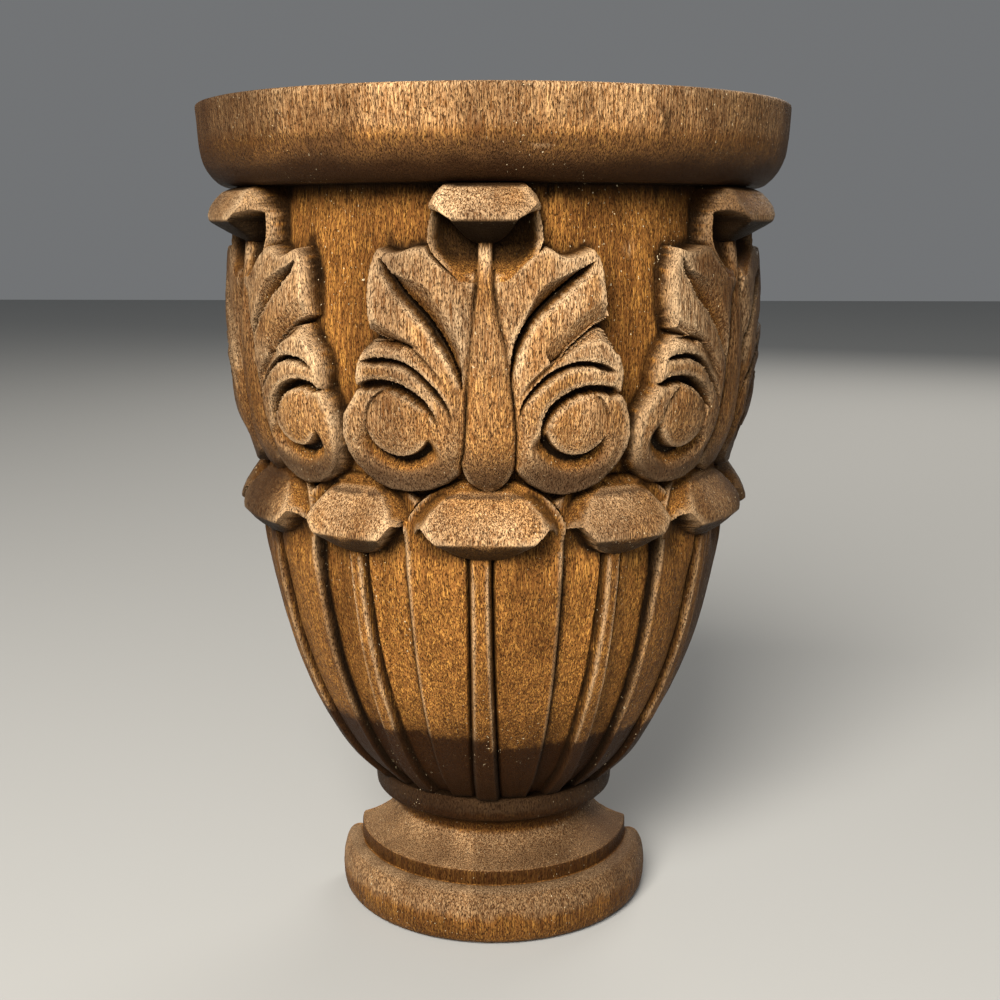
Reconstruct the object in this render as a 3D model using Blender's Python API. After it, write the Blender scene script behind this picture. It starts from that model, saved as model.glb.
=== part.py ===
# Carved wooden corbel bracket: one half-round block with a moulded rim, a band of scrolled
# leaves, a cup of ribbed petals with turned-over lips, and a turned foot.
# Metres, +Z up. The flat back lies on y = 0, the carved front faces -Y, and the origin is the
# middle of the back.
# The carving is drawn and joined flat, as if the body were unrolled: X runs round the body, Z up
# it, and -Y is the height that a form stands out. The whole board is then wrapped round the axis.

import math

import bmesh
import bpy
from mathutils import Matrix, Vector

# Overall
HEIGHT = 0.203
WRAP_RADIUS = 0.066        # radius at which an unrolled length is a true length
BOARD_DEPTH = 0.030        # depth of the unrolled board, which closes up on the axis
TRUE_DEPTH = 0.012         # down to this depth the board keeps its true depth

# Rim
RIM_RADIUS = 0.0725
RIM_FACE_HEIGHT = 0.0085
RIM_TURN_HEIGHT = 0.0108   # the rounded part under the face
RIM_SOFFIT_RADIUS = 0.0668

# Ground of the body, behind the carving
BODY_TOP_RADIUS = 0.0587
BELLY_RADIUS = 0.0610
WAIST_RADIUS = 0.0548
CUP_RADIUS = 0.0560
CUP_FOOT_RADIUS = 0.0291

# Ring, neck and foot
RING_TOP_LEVEL = 0.0350
RING_BOTTOM_LEVEL = 0.0288
RING_RADIUS = 0.0316
NECK_RADIUS = 0.0256
NECK_LEVEL = 0.0240
FILLET_RADIUS = 0.0356
FILLET_TOP_LEVEL = 0.0174
FOOT_TOP_LEVEL = 0.0138
FOOT_RADIUS = 0.0410
FOOT_BASE_RADIUS = 0.0382

# Leaf clusters, in unrolled lengths
LEAVES_PER_TURN = 6
LEAF_REACH = 0.0332        # from the middle of the stalk to the outer edge of the scroll
LEAF_STAND = 0.0060
STALK_STAND = 0.0054
SCROLL_RADIUS = 0.0131
EYE_RADIUS = 0.0072
EYE_STAND = 0.0064
EYE_LIFT = 0.0028          # the eye sits this far above the middle of its scroll
SCROLL_STEP = 0.0004       # the scroll lies this far behind the blades
EDGE_CHAMFER = 0.0005
GOUGE_WIDTH = 0.0016
GOUGE_DEPTH = 0.0034

# Curl at the top of each cluster
CURL_HALF_WIDTH = 0.0118
CURL_STAND = 0.0125
CURL_DROP = 0.0135         # from the rim down to where the curl meets the stalk
SCOOP_HALF_WIDTH = 0.0046
SCOOP_HALF_HEIGHT = 0.0082
SCOOP_DEPTH = 0.0044

# Petals of the cup, in unrolled lengths
PETALS_PER_TURN = 12
PETAL_HALF_WIDTH = 0.0199
FRONT_PETAL_STAND = 0.0020
BACK_PETAL_STAND = 0.0010
FRONT_PETAL_SUNK = 0.0016  # depth that a petal's foot reaches into the ring
BACK_PETAL_SUNK = 0.0022
RIB_WIDTH = 0.0055
RIB_STAND = 0.0013
RIB_GAP = 0.0005           # between a rib's foot and the ring
SEAM_WIDTH = 0.0012
SEAM_DEPTH = 0.0014
LIP_HALF_WIDTH = 0.0152
LIP_STAND = 0.0090

# Facets
FACETS_ROUND = 30          # facets round the half turn
FACET_HEIGHT = 0.0125
FLAT_ANGLE = math.radians(3.0)   # facets that turn by less are made one
ARC_STEPS = 6
WELD = 0.00001
ORDER_STEP = 0.0000002     # places closer than this count as equal when they are ranked
BURIED = 0.004             # depth that a carved form reaches into the body
GOUGE_LIFT = 0.0004        # the cutting edge starts this far above the wood
GOUGE_END = 0.25           # share of its width that a cut keeps at its ends

HALF_LENGTH = math.pi / 2 * WRAP_RADIUS
OVERHANG = 0.02            # spare length of the carving, trimmed off at the back

WOOD_COLOUR = (0.205, 0.098, 0.036, 1.0)
WOOD_ROUGHNESS = 0.55


def share(low, high, part):
    return low + (high - low) * part


BODY_TOP_LEVEL = HEIGHT - RIM_FACE_HEIGHT - RIM_TURN_HEIGHT


def body_level(part):
    """A level on the body, as a share of the way from the ring up to the underside of the rim."""
    return share(RING_TOP_LEVEL, BODY_TOP_LEVEL, part)


CUP_TOP_LEVEL = body_level(0.4304)
WAIST_LEVEL = body_level(0.5481)
BELLY_LEVEL = body_level(0.7868)
LEAF_FOOT_LEVEL = body_level(0.5548)
LEAF_TIP_LEVEL = body_level(0.9099)
PETAL_TIP_LEVEL = body_level(0.5683)
LIP_TOP_LEVEL = body_level(0.5582)
LIP_EDGE_LEVEL = body_level(0.4943)      # lower edge of the lip's front face
LIP_FOOT_LEVEL = body_level(0.4539)


def clear_scene():
    for thing in list(bpy.data.objects):
        bpy.data.objects.remove(thing, do_unlink=True)


def new_collection(name):
    collection = bpy.data.collections.new(name)
    bpy.context.scene.collection.children.link(collection)
    return collection


def body_stations():
    """Levels and radii of the ground, from the ring up to the underside of the rim."""
    cup_shares = ((0.12, 0.27), (0.27, 0.49), (0.42, 0.66), (0.60, 0.815), (0.78, 0.92))
    stations = [(RING_TOP_LEVEL, CUP_FOOT_RADIUS)]
    for up, out in cup_shares:
        level = share(RING_TOP_LEVEL, CUP_TOP_LEVEL, up)
        stations.append((level, share(CUP_FOOT_RADIUS, CUP_RADIUS, out)))
    stations.append((CUP_TOP_LEVEL, CUP_RADIUS))
    stations.append((WAIST_LEVEL, WAIST_RADIUS))
    stations.append((share(WAIST_LEVEL, BELLY_LEVEL, 0.4), share(WAIST_RADIUS, BELLY_RADIUS, 0.7)))
    stations.append((BELLY_LEVEL, BELLY_RADIUS))
    stations.append((BODY_TOP_LEVEL, BODY_TOP_RADIUS))
    return stations


STATIONS = body_stations()


def slope_at(index):
    low = STATIONS[max(index - 1, 0)]
    high = STATIONS[min(index + 1, len(STATIONS) - 1)]
    return (high[1] - low[1]) / (high[0] - low[0])


def ground_radius(level):
    """Radius of the ground at a level, a smooth curve through the stations."""
    if level <= STATIONS[0][0]:
        return STATIONS[0][1]
    if level >= STATIONS[-1][0]:
        return STATIONS[-1][1]
    index = max(i for i, station in enumerate(STATIONS[:-1]) if station[0] <= level)
    (z0, r0), (z1, r1) = STATIONS[index], STATIONS[index + 1]
    span = z1 - z0
    t = (level - z0) / span
    m0, m1 = slope_at(index) * span, slope_at(index + 1) * span
    return ((2 * t ** 3 - 3 * t ** 2 + 1) * r0 + (t ** 3 - 2 * t ** 2 + t) * m0
            + (3 * t ** 2 - 2 * t ** 3) * r1 + (t ** 3 - t ** 2) * m1)


def arc(centre, half_sizes, start, end, steps=ARC_STEPS):
    """Points of an elliptical arc; the angles are in degrees."""
    points = []
    for step in range(steps + 1):
        angle = math.radians(share(start, end, step / steps))
        points.append((centre[0] + half_sizes[0] * math.cos(angle),
                       centre[1] + half_sizes[1] * math.sin(angle)))
    return points


def mesh_from_curve(curve, name, matrix):
    """Turns a filled curve into a welded mesh object and removes the curve."""
    thing = bpy.data.objects.new(name, curve)
    bpy.context.scene.collection.objects.link(thing)
    thing.matrix_world = matrix
    graph = bpy.context.evaluated_depsgraph_get()
    mesh = bpy.data.meshes.new_from_object(thing.evaluated_get(graph))
    solid = bpy.data.objects.new(name, mesh)
    bpy.context.scene.collection.objects.link(solid)
    solid.matrix_world = matrix
    bpy.data.objects.remove(thing, do_unlink=True)
    tidy = bmesh.new()
    tidy.from_mesh(mesh)
    bmesh.ops.remove_doubles(tidy, verts=tidy.verts, dist=WELD)
    bmesh.ops.recalc_face_normals(tidy, faces=tidy.faces)
    tidy.to_mesh(mesh)
    tidy.free()
    return solid


def outline_solid(name, points, thickness, matrix):
    """A flat outline, filled and given a thickness, as a mesh object."""
    curve = bpy.data.curves.new(name, "CURVE")
    curve.dimensions = "2D"
    curve.fill_mode = "BOTH"
    curve.extrude = thickness / 2
    spline = curve.splines.new("POLY")
    spline.points.add(len(points) - 1)
    for point, (x, y) in zip(spline.points, points):
        point.co = (x, y, 0.0, 1.0)
    spline.use_cyclic_u = True
    return mesh_from_curve(curve, name, matrix)


def front_solid(name, points, back, front):
    """An outline seen from the front, (across, level), between two heights above the ground."""
    facing = Matrix.Rotation(math.pi / 2, 4, "X")
    place = Matrix.Translation((0.0, -(back + front) / 2, 0.0)) @ facing
    return outline_solid(name, points, front - back, place)


def side_solid(name, points, half_width):
    """An outline seen from the side, (height above the ground, level), run across the board."""
    axes = Matrix(((0.0, 0.0, -1.0, 0.0), (-1.0, 0.0, 0.0, 0.0), (0.0, 1.0, 0.0, 0.0),
                   (0.0, 0.0, 0.0, 1.0)))
    return outline_solid(name, points, 2 * half_width, axes)


def disc(name, centre, radius, front, segments):
    """A round boss with a chamfered edge, seen from the front."""
    mesh = bpy.data.meshes.new(name)
    shape = bmesh.new()
    depth = front + BURIED / 2
    bmesh.ops.create_cone(shape, cap_ends=True, segments=segments, radius1=radius,
                          radius2=radius - EDGE_CHAMFER, depth=depth)
    shape.to_mesh(mesh)
    shape.free()
    thing = bpy.data.objects.new(name, mesh)
    bpy.context.scene.collection.objects.link(thing)
    middle = (front - BURIED / 2) / 2
    thing.matrix_world = (Matrix.Translation((centre[0], -middle, centre[1]))
                          @ Matrix.Rotation(math.pi / 2, 4, "X"))
    return thing


def gouge(name, path, width, depth, top):
    """A V-shaped cut along a path seen from the front, running out to nothing at its ends."""
    curve = bpy.data.curves.new(name, "CURVE")
    curve.dimensions = "3D"
    curve.twist_mode = "Z_UP"
    curve.bevel_depth = width / 2
    curve.bevel_resolution = 0
    curve.use_fill_caps = True
    spline = curve.splines.new("POLY")
    spline.points.add(len(path) - 1)
    last = len(path) - 1
    for index, (point, (x, z)) in enumerate(zip(spline.points, path)):
        point.co = (x, z, 0.0, 1.0)
        point.radius = GOUGE_END if index in (0, last) else 1.0
    deeper = Matrix.Diagonal((1.0, 1.0, 2 * depth / width, 1.0))
    facing = Matrix.Rotation(math.pi / 2, 4, "X")
    place = Matrix.Translation((0.0, -top - GOUGE_LIFT, 0.0)) @ facing @ deeper
    return mesh_from_curve(curve, name, place)


def combine(target, operands, operation):
    """Joins, cuts or intersects a solid with others, and removes the others."""
    group = bpy.data.collections.new("operands")
    bpy.context.scene.collection.children.link(group)
    for operand in operands:
        group.objects.link(operand)
    modifier = target.modifiers.new(operation.lower(), "BOOLEAN")
    modifier.operation = operation
    modifier.solver = "EXACT"
    modifier.operand_type = "COLLECTION"
    modifier.collection = group
    graph = bpy.context.evaluated_depsgraph_get()
    mesh = bpy.data.meshes.new_from_object(target.evaluated_get(graph))
    target.modifiers.clear()
    target.data = mesh
    for operand in operands:
        bpy.data.objects.remove(operand, do_unlink=True)
    bpy.data.collections.remove(group)
    return target


def moved(solid, across, mirrored=False):
    """A copy of a solid at another place across the board, mirrored if asked."""
    copy = bpy.data.objects.new(solid.name, solid.data.copy())
    bpy.context.scene.collection.objects.link(copy)
    flip = Matrix.Diagonal((-1.0 if mirrored else 1.0, 1.0, 1.0, 1.0))
    copy.data.transform(Matrix.Translation((across, 0.0, 0.0)) @ flip @ solid.matrix_world)
    if mirrored:
        copy.data.flip_normals()
    return copy


def body_outline():
    """Side outline of the turned body, as heights above the ground, from the top down."""
    face_foot = HEIGHT - RIM_FACE_HEIGHT
    turn = arc((RIM_SOFFIT_RADIUS, face_foot),
               (RIM_RADIUS - RIM_SOFFIT_RADIUS, RIM_TURN_HEIGHT), 0.0, -90.0)
    ring_middle = (RING_TOP_LEVEL + RING_BOTTOM_LEVEL) / 2
    ring_half = (RING_TOP_LEVEL - RING_BOTTOM_LEVEL) / 2
    ring = arc((RING_RADIUS - ring_half / 5, ring_middle), (ring_half / 5, ring_half), 90.0, -90.0, 4)
    throat = arc((RING_RADIUS, NECK_LEVEL),
                 (RING_RADIUS - NECK_RADIUS, RING_BOTTOM_LEVEL - NECK_LEVEL), 115.0, 180.0, 4)
    cove = arc((FILLET_RADIUS, NECK_LEVEL),
               (FILLET_RADIUS - NECK_RADIUS, NECK_LEVEL - FILLET_TOP_LEVEL), 180.0, 270.0)
    foot_middle = FOOT_TOP_LEVEL / 2
    foot = arc((FOOT_BASE_RADIUS, foot_middle), (FOOT_RADIUS - FOOT_BASE_RADIUS, foot_middle),
               90.0, -90.0, 8)
    turned = [(RIM_RADIUS, HEIGHT)] + turn
    points = [(radius - BODY_TOP_RADIUS, level) for radius, level in turned]
    points.append((0.0, BODY_TOP_LEVEL))
    points.append((0.0, RING_TOP_LEVEL))
    below = ring + throat + cove + [(FILLET_RADIUS, FOOT_TOP_LEVEL)] + foot
    points += [(radius - CUP_FOOT_RADIUS, level) for radius, level in below]
    points.append((-BOARD_DEPTH, 0.0))
    points.append((-BOARD_DEPTH, HEIGHT))
    return points


def leaf_point(u, v):
    """A place on the leaf, from shares of its reach and height."""
    return (u * LEAF_REACH, share(LEAF_FOOT_LEVEL, LEAF_TIP_LEVEL, v))


def leaf_path(shares):
    return [leaf_point(u, v) for u, v in shares]


def scroll_centre():
    return (LEAF_REACH - SCROLL_RADIUS, LEAF_FOOT_LEVEL + SCROLL_RADIUS)


def eye_centre():
    across, level = scroll_centre()
    return (across, level + EYE_LIFT)


def half_leaf():
    """One side of a leaf cluster: two blades over a scroll, parted by gouge cuts."""
    blades = leaf_path((
        (0.185, 0.160), (0.160, 0.294), (0.142, 0.445), (0.104, 0.616), (0.070, 0.767),
        (0.070, 0.871), (0.208, 0.900), (0.323, 0.956), (0.361, 1.000), (0.469, 0.977),
        (0.576, 0.973), (0.691, 0.998), (0.760, 0.947), (0.781, 0.843), (0.778, 0.748),
        (0.743, 0.684), (0.549, 0.627), (0.677, 0.638), (0.792, 0.619), (0.861, 0.570),
        (0.903, 0.483), (0.875, 0.430), (0.600, 0.110), (0.360, 0.035), (0.215, 0.095)))
    leaf = front_solid("leaf", blades, -BURIED, LEAF_STAND)
    scroll = disc("scroll", scroll_centre(), SCROLL_RADIUS, LEAF_STAND - SCROLL_STEP, 20)
    eye = disc("eye", eye_centre(), EYE_RADIUS, EYE_STAND, 16)
    combine(leaf, [scroll], "UNION")
    upper_cut = leaf_path(((0.690, 0.945), (0.520, 0.845), (0.340, 0.725), (0.220, 0.620),
                           (0.160, 0.500)))
    middle_cut = leaf_path(((0.880, 0.520), (0.740, 0.553), (0.600, 0.553), (0.440, 0.508),
                            (0.300, 0.430), (0.225, 0.330)))
    eye_cut = arc(eye_centre(), (EYE_RADIUS + GOUGE_WIDTH / 2, EYE_RADIUS + GOUGE_WIDTH / 2),
                  50.0, 185.0, 6)
    eye_cut.insert(0, leaf_point(0.900, 0.425))
    under_cut = arc(eye_centre(), (EYE_RADIUS + GOUGE_WIDTH / 2, EYE_RADIUS + GOUGE_WIDTH / 2),
                    -10.0, -150.0, 6)
    cuts = [gouge("upper cut", upper_cut, GOUGE_WIDTH, GOUGE_DEPTH, LEAF_STAND),
            gouge("middle cut", middle_cut, GOUGE_WIDTH, GOUGE_DEPTH, LEAF_STAND),
            gouge("eye cut", eye_cut, GOUGE_WIDTH, GOUGE_DEPTH, LEAF_STAND),
            gouge("under cut", under_cut, GOUGE_WIDTH, GOUGE_DEPTH, LEAF_STAND)]
    combine(leaf, cuts, "DIFFERENCE")
    combine(leaf, [eye], "UNION")
    return leaf


def mirrored_outline(half):
    """A closed outline from its right half, listed from the top down."""
    return half + [(-x, z) for x, z in reversed(half)]


def stalk():
    """The stem of a cluster, slender at the top and flared to a rounded foot."""
    half = leaf_path(((0.045, 1.06), (0.059, 0.843), (0.094, 0.672), (0.139, 0.426),
                      (0.160, 0.237), (0.184, 0.104), (0.165, 0.050), (0.110, 0.015),
                      (0.045, 0.000)))
    return front_solid("stalk", mirrored_outline(half), -BURIED, STALK_STAND)


def curl():
    """The tip of the leaf, bent forward under the rim, with a scoop cut below each side."""
    top = BODY_TOP_LEVEL
    width = CURL_HALF_WIDTH
    drop = CURL_DROP
    backing = [(width * 0.66, top), (width * 0.92, top - drop * 0.25), (width, top - drop * 0.6),
               (width * 0.95, top - drop * 0.95), (width * 0.60, top - drop * 1.40),
               (width * 0.18, top - drop * 1.60)]
    shell = front_solid("curl backing", mirrored_outline(backing), -BURIED, LEAF_STAND * 0.85)
    face = [(width * 0.64, top), (width * 0.83, top - drop * 0.33), (width * 0.60, top - drop * 0.56),
            (width * 0.42, top - drop * 0.80), (width * 0.16, top - drop)]
    cap = front_solid("curl cap", mirrored_outline(face), -BURIED, CURL_STAND + BURIED)
    side = [(-BURIED, top + BURIED), (CURL_STAND * 0.70, top - drop * 0.04),
            (CURL_STAND, top - drop * 0.36), (CURL_STAND * 0.97, top - drop * 0.55),
            (CURL_STAND * 0.55, top - drop * 0.90), (STALK_STAND * 0.9, top - drop * 1.02),
            (-BURIED, top - drop * 1.02)]
    combine(cap, [side_solid("curl side", side, width * 2)], "INTERSECT")
    scoops = []
    for way in (-1.0, 1.0):
        scoops.append(scoop("curl scoop", (way * width * 0.50, top - drop * 0.84)))
    combine(shell, scoops, "DIFFERENCE")
    combine(shell, [cap], "UNION")
    return shell


def scoop(name, centre):
    """A round hollow cut by a gouge, taller than wide."""
    mesh = bpy.data.meshes.new(name)
    shape = bmesh.new()
    bmesh.ops.create_uvsphere(shape, u_segments=10, v_segments=6, radius=1.0)
    shape.to_mesh(mesh)
    shape.free()
    thing = bpy.data.objects.new(name, mesh)
    bpy.context.scene.collection.objects.link(thing)
    sizes = Matrix.Diagonal((SCOOP_HALF_WIDTH, SCOOP_DEPTH, SCOOP_HALF_HEIGHT, 1.0))
    thing.matrix_world = Matrix.Translation((centre[0], -LEAF_STAND, centre[1])) @ sizes
    return thing


def across_at(width, level):
    """Unrolled length of a real width on the cup at a level."""
    return width * WRAP_RADIUS / ground_radius(level)


def petal(stand_out, sunk):
    """One petal of the cup: a long panel with a rib and a turned-over lip."""
    panel = [(PETAL_HALF_WIDTH * 0.35, PETAL_TIP_LEVEL),
             (PETAL_HALF_WIDTH * 0.66, share(LIP_EDGE_LEVEL, PETAL_TIP_LEVEL, 0.88)),
             (PETAL_HALF_WIDTH * 0.87, share(LIP_EDGE_LEVEL, PETAL_TIP_LEVEL, 0.45)),
             (PETAL_HALF_WIDTH, LIP_FOOT_LEVEL),
             (PETAL_HALF_WIDTH, RING_TOP_LEVEL - sunk)]
    solid = front_solid("petal", mirrored_outline(panel), -BURIED, stand_out)
    seams = []
    for way in (-1.0, 1.0):
        edge = []
        for step in range(5):
            level = share(RING_TOP_LEVEL, LIP_FOOT_LEVEL, step / 4)
            edge.append((way * (across_at(RIB_WIDTH, level) / 2), level))
        seams.append(gouge("rib seam", edge, SEAM_WIDTH, SEAM_DEPTH, stand_out))
    rib_foot = RING_TOP_LEVEL + RIB_GAP
    rib_levels = [share(LIP_EDGE_LEVEL, rib_foot, step / 5) for step in range(6)]
    half_rib = [(across_at(RIB_WIDTH, level) / 2, level) for level in rib_levels]
    rib = front_solid("rib", mirrored_outline(half_rib), -BURIED, stand_out + RIB_STAND)
    face = [(LIP_HALF_WIDTH * 0.42, LIP_TOP_LEVEL),
            (LIP_HALF_WIDTH * 0.72, share(LIP_EDGE_LEVEL, LIP_TOP_LEVEL, 0.80)),
            (LIP_HALF_WIDTH, share(LIP_EDGE_LEVEL, LIP_TOP_LEVEL, 0.36)),
            (LIP_HALF_WIDTH * 0.86, share(LIP_EDGE_LEVEL, LIP_TOP_LEVEL, 0.16)),
            (LIP_HALF_WIDTH * 0.60, share(LIP_FOOT_LEVEL, LIP_EDGE_LEVEL, 0.93)),
            (LIP_HALF_WIDTH * 0.42, share(LIP_FOOT_LEVEL, LIP_EDGE_LEVEL, 0.45)),
            (LIP_HALF_WIDTH * 0.18, LIP_FOOT_LEVEL)]
    lip = front_solid("lip", mirrored_outline(face), -BURIED, LIP_STAND + BURIED)
    side = [(-BURIED, PETAL_TIP_LEVEL), (LIP_STAND * 0.40, LIP_TOP_LEVEL),
            (LIP_STAND * 0.66, share(LIP_EDGE_LEVEL, LIP_TOP_LEVEL, 0.78)),
            (LIP_STAND * 0.95, share(LIP_EDGE_LEVEL, LIP_TOP_LEVEL, 0.30)),
            (LIP_STAND, LIP_EDGE_LEVEL),
            (LIP_STAND * 0.80, share(LIP_FOOT_LEVEL, LIP_EDGE_LEVEL, 0.45)),
            (stand_out + RIB_STAND * 0.5, LIP_FOOT_LEVEL), (-BURIED, LIP_FOOT_LEVEL)]
    combine(lip, [side_solid("lip side", side, LIP_HALF_WIDTH * 2)], "INTERSECT")
    combine(solid, seams, "DIFFERENCE")
    combine(solid, [rib, lip], "UNION")
    return solid


def board():
    """The whole bracket, unrolled flat."""
    body = side_solid("body", body_outline(), HALF_LENGTH + OVERHANG)
    leaf, stem, tip = half_leaf(), stalk(), curl()
    front_petal = petal(FRONT_PETAL_STAND, FRONT_PETAL_SUNK)
    back_petal = petal(BACK_PETAL_STAND, BACK_PETAL_SUNK)
    carving = []
    leaf_pitch = 2 * math.pi * WRAP_RADIUS / LEAVES_PER_TURN
    reach = math.ceil(HALF_LENGTH / leaf_pitch)
    for index in range(-reach, reach + 1):
        across = index * leaf_pitch
        if abs(across) - LEAF_REACH > HALF_LENGTH:
            continue
        carving += [moved(leaf, across), moved(leaf, across, True), moved(stem, across),
                    moved(tip, across)]
    petal_pitch = 2 * math.pi * WRAP_RADIUS / PETALS_PER_TURN
    reach = math.ceil(HALF_LENGTH / petal_pitch)
    for index in range(-reach, reach + 1):
        across = index * petal_pitch
        if abs(across) - PETAL_HALF_WIDTH > HALF_LENGTH:
            continue
        carving.append(moved(front_petal if index % 2 == 0 else back_petal, across))
    for pattern in (leaf, stem, tip, front_petal, back_petal):
        bpy.data.objects.remove(pattern, do_unlink=True)
    combine(body, carving, "UNION")
    trim = [(HALF_LENGTH, HEIGHT + OVERHANG), (HALF_LENGTH, -OVERHANG)]
    half = front_solid("half round", mirrored_outline(trim), -2 * BOARD_DEPTH, 2 * BOARD_DEPTH)
    return combine(body, [half], "INTERSECT")


def slice_board(shape):
    """Cuts the flat faces into facets, so that they can bend round the body."""
    def cut(place, normal):
        everything = shape.verts[:] + shape.edges[:] + shape.faces[:]
        bmesh.ops.bisect_plane(shape, geom=everything, plane_co=place, plane_no=normal,
                               dist=WELD / 10)
    for step in range(1, FACETS_ROUND):
        across = share(-HALF_LENGTH, HALF_LENGTH, step / FACETS_ROUND)
        cut(Vector((across, 0.0, 0.0)), Vector((1.0, 0.0, 0.0)))
    low, high = STATIONS[0][0], STATIONS[-1][0]
    rows = max(4, round((high - low) / FACET_HEIGHT))
    for step in range(1, rows):
        cut(Vector((0.0, 0.0, share(low, high, step / rows))), Vector((0.0, 0.0, 1.0)))


def wrapped(point):
    """Place on the bracket of a point of the flat board."""
    level = point.z
    standing = -point.y
    ground = ground_radius(level)
    if standing > -TRUE_DEPTH:
        radius = ground + standing
    else:
        radius = (ground - TRUE_DEPTH) * (standing + BOARD_DEPTH) / (BOARD_DEPTH - TRUE_DEPTH)
    angle = point.x / WRAP_RADIUS
    depth = 0.0 if abs(abs(point.x) - HALF_LENGTH) < WELD else -radius * math.cos(angle)
    return Vector((radius * math.sin(angle), depth, level - HEIGHT / 2))


def in_order(shape):
    """The same shape with its points and faces in the order of their places, the same every run."""
    def rank(vertex):
        return tuple(round(value / ORDER_STEP) for value in vertex.co)
    points = sorted(shape.verts, key=rank)
    number = {vertex: index for index, vertex in enumerate(points)}
    rings = []
    for face in shape.faces:
        ring = [number[vertex] for vertex in face.verts]
        first = ring.index(min(ring))
        rings.append(ring[first:] + ring[:first])
    ordered = bmesh.new()
    corners = [ordered.verts.new(vertex.co) for vertex in points]
    for ring in sorted(rings):
        ordered.faces.new([corners[index] for index in ring])
    ordered.normal_update()
    shape.free()
    return ordered


def wrap(flat, name):
    """Wraps the flat board round the axis and closes it there."""
    shape = bmesh.new()
    shape.from_mesh(flat.data)
    shape.transform(flat.matrix_world)
    shape = in_order(shape)
    bmesh.ops.remove_doubles(shape, verts=shape.verts, dist=WELD)
    slice_board(shape)
    bmesh.ops.triangulate(shape, faces=shape.faces)
    shape = in_order(shape)
    for vertex in shape.verts:
        vertex.co = wrapped(vertex.co)
    bmesh.ops.remove_doubles(shape, verts=shape.verts, dist=WELD)
    shape = in_order(shape)
    bmesh.ops.dissolve_limit(shape, angle_limit=FLAT_ANGLE, verts=shape.verts, edges=shape.edges)
    bmesh.ops.triangulate(shape, faces=shape.faces)
    bmesh.ops.recalc_face_normals(shape, faces=shape.faces)
    mesh = bpy.data.meshes.new(name)
    shape.to_mesh(mesh)
    shape.free()
    bpy.data.objects.remove(flat, do_unlink=True)
    return bpy.data.objects.new(name, mesh)


def wood():
    material = bpy.data.materials.new("waxed hardwood")
    material.use_nodes = True
    shader = material.node_tree.nodes["Principled BSDF"]
    shader.inputs["Base Color"].default_value = WOOD_COLOUR
    shader.inputs["Roughness"].default_value = WOOD_ROUGHNESS
    shader.inputs["Metallic"].default_value = 0.0
    return material


def main():
    clear_scene()
    bracket = wrap(board(), "corbel")
    bracket.data.materials.append(wood())
    new_collection("corbel bracket").objects.link(bracket)


main()
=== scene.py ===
# Carved hardwood corbel bracket: the fine carving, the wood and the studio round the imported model.
# Carving lengths are millimetres: angles are degrees round the body, levels are above the foot.
import math
import bpy
import numpy as np
from mathutils import Matrix, Vector


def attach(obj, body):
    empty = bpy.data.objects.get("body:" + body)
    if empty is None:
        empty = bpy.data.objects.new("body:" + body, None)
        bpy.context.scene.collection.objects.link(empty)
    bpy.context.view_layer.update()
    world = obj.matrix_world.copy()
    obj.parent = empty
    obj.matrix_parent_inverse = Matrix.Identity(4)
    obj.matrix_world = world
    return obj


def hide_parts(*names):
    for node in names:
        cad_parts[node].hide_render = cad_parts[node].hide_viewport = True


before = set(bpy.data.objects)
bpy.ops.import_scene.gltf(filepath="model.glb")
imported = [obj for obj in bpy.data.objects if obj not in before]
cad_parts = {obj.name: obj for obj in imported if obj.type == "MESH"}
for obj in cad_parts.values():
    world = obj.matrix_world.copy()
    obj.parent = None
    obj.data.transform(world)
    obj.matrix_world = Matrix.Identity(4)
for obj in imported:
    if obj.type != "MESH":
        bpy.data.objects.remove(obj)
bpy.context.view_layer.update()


def say(words):
    print("corbel scene:", words)


def deselectAll():
    bpy.ops.object.select_all(action="DESELECT")


def linearColour(hexText):
    # sRGB hex to the linear colour that a shader takes
    parts = [int(hexText[i:i + 2], 16) / 255 for i in (0, 2, 4)]
    linear = [p / 12.92 if p <= 0.04045 else ((p + 0.055) / 1.055) ** 2.4 for p in parts]
    return tuple(linear + [1.0])


# The camera stands where the photograph was taken from
camera = {
    "lens": 49.986,
    "sensor": 36.0,
    "place": (0.00166, -0.356, 0.0733),
    "tiltDown": 11.16,
    "turn": 1.8,          # degrees, round the upright axis
}


def addCamera():
    data = bpy.data.cameras.new("photoCamera")
    data.lens = camera["lens"]
    data.sensor_width = camera["sensor"]
    data.clip_start = 0.01
    thing = bpy.data.objects.new("photoCamera", data)
    bpy.context.scene.collection.objects.link(thing)
    thing.matrix_world = (Matrix.Rotation(math.radians(camera["turn"]), 4, "Z")
                          @ Matrix.Translation(camera["place"])
                          @ Matrix.Rotation(math.radians(90.0 - camera["tiltDown"]), 4, "X"))
    bpy.context.scene.camera = thing


addCamera()

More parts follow.
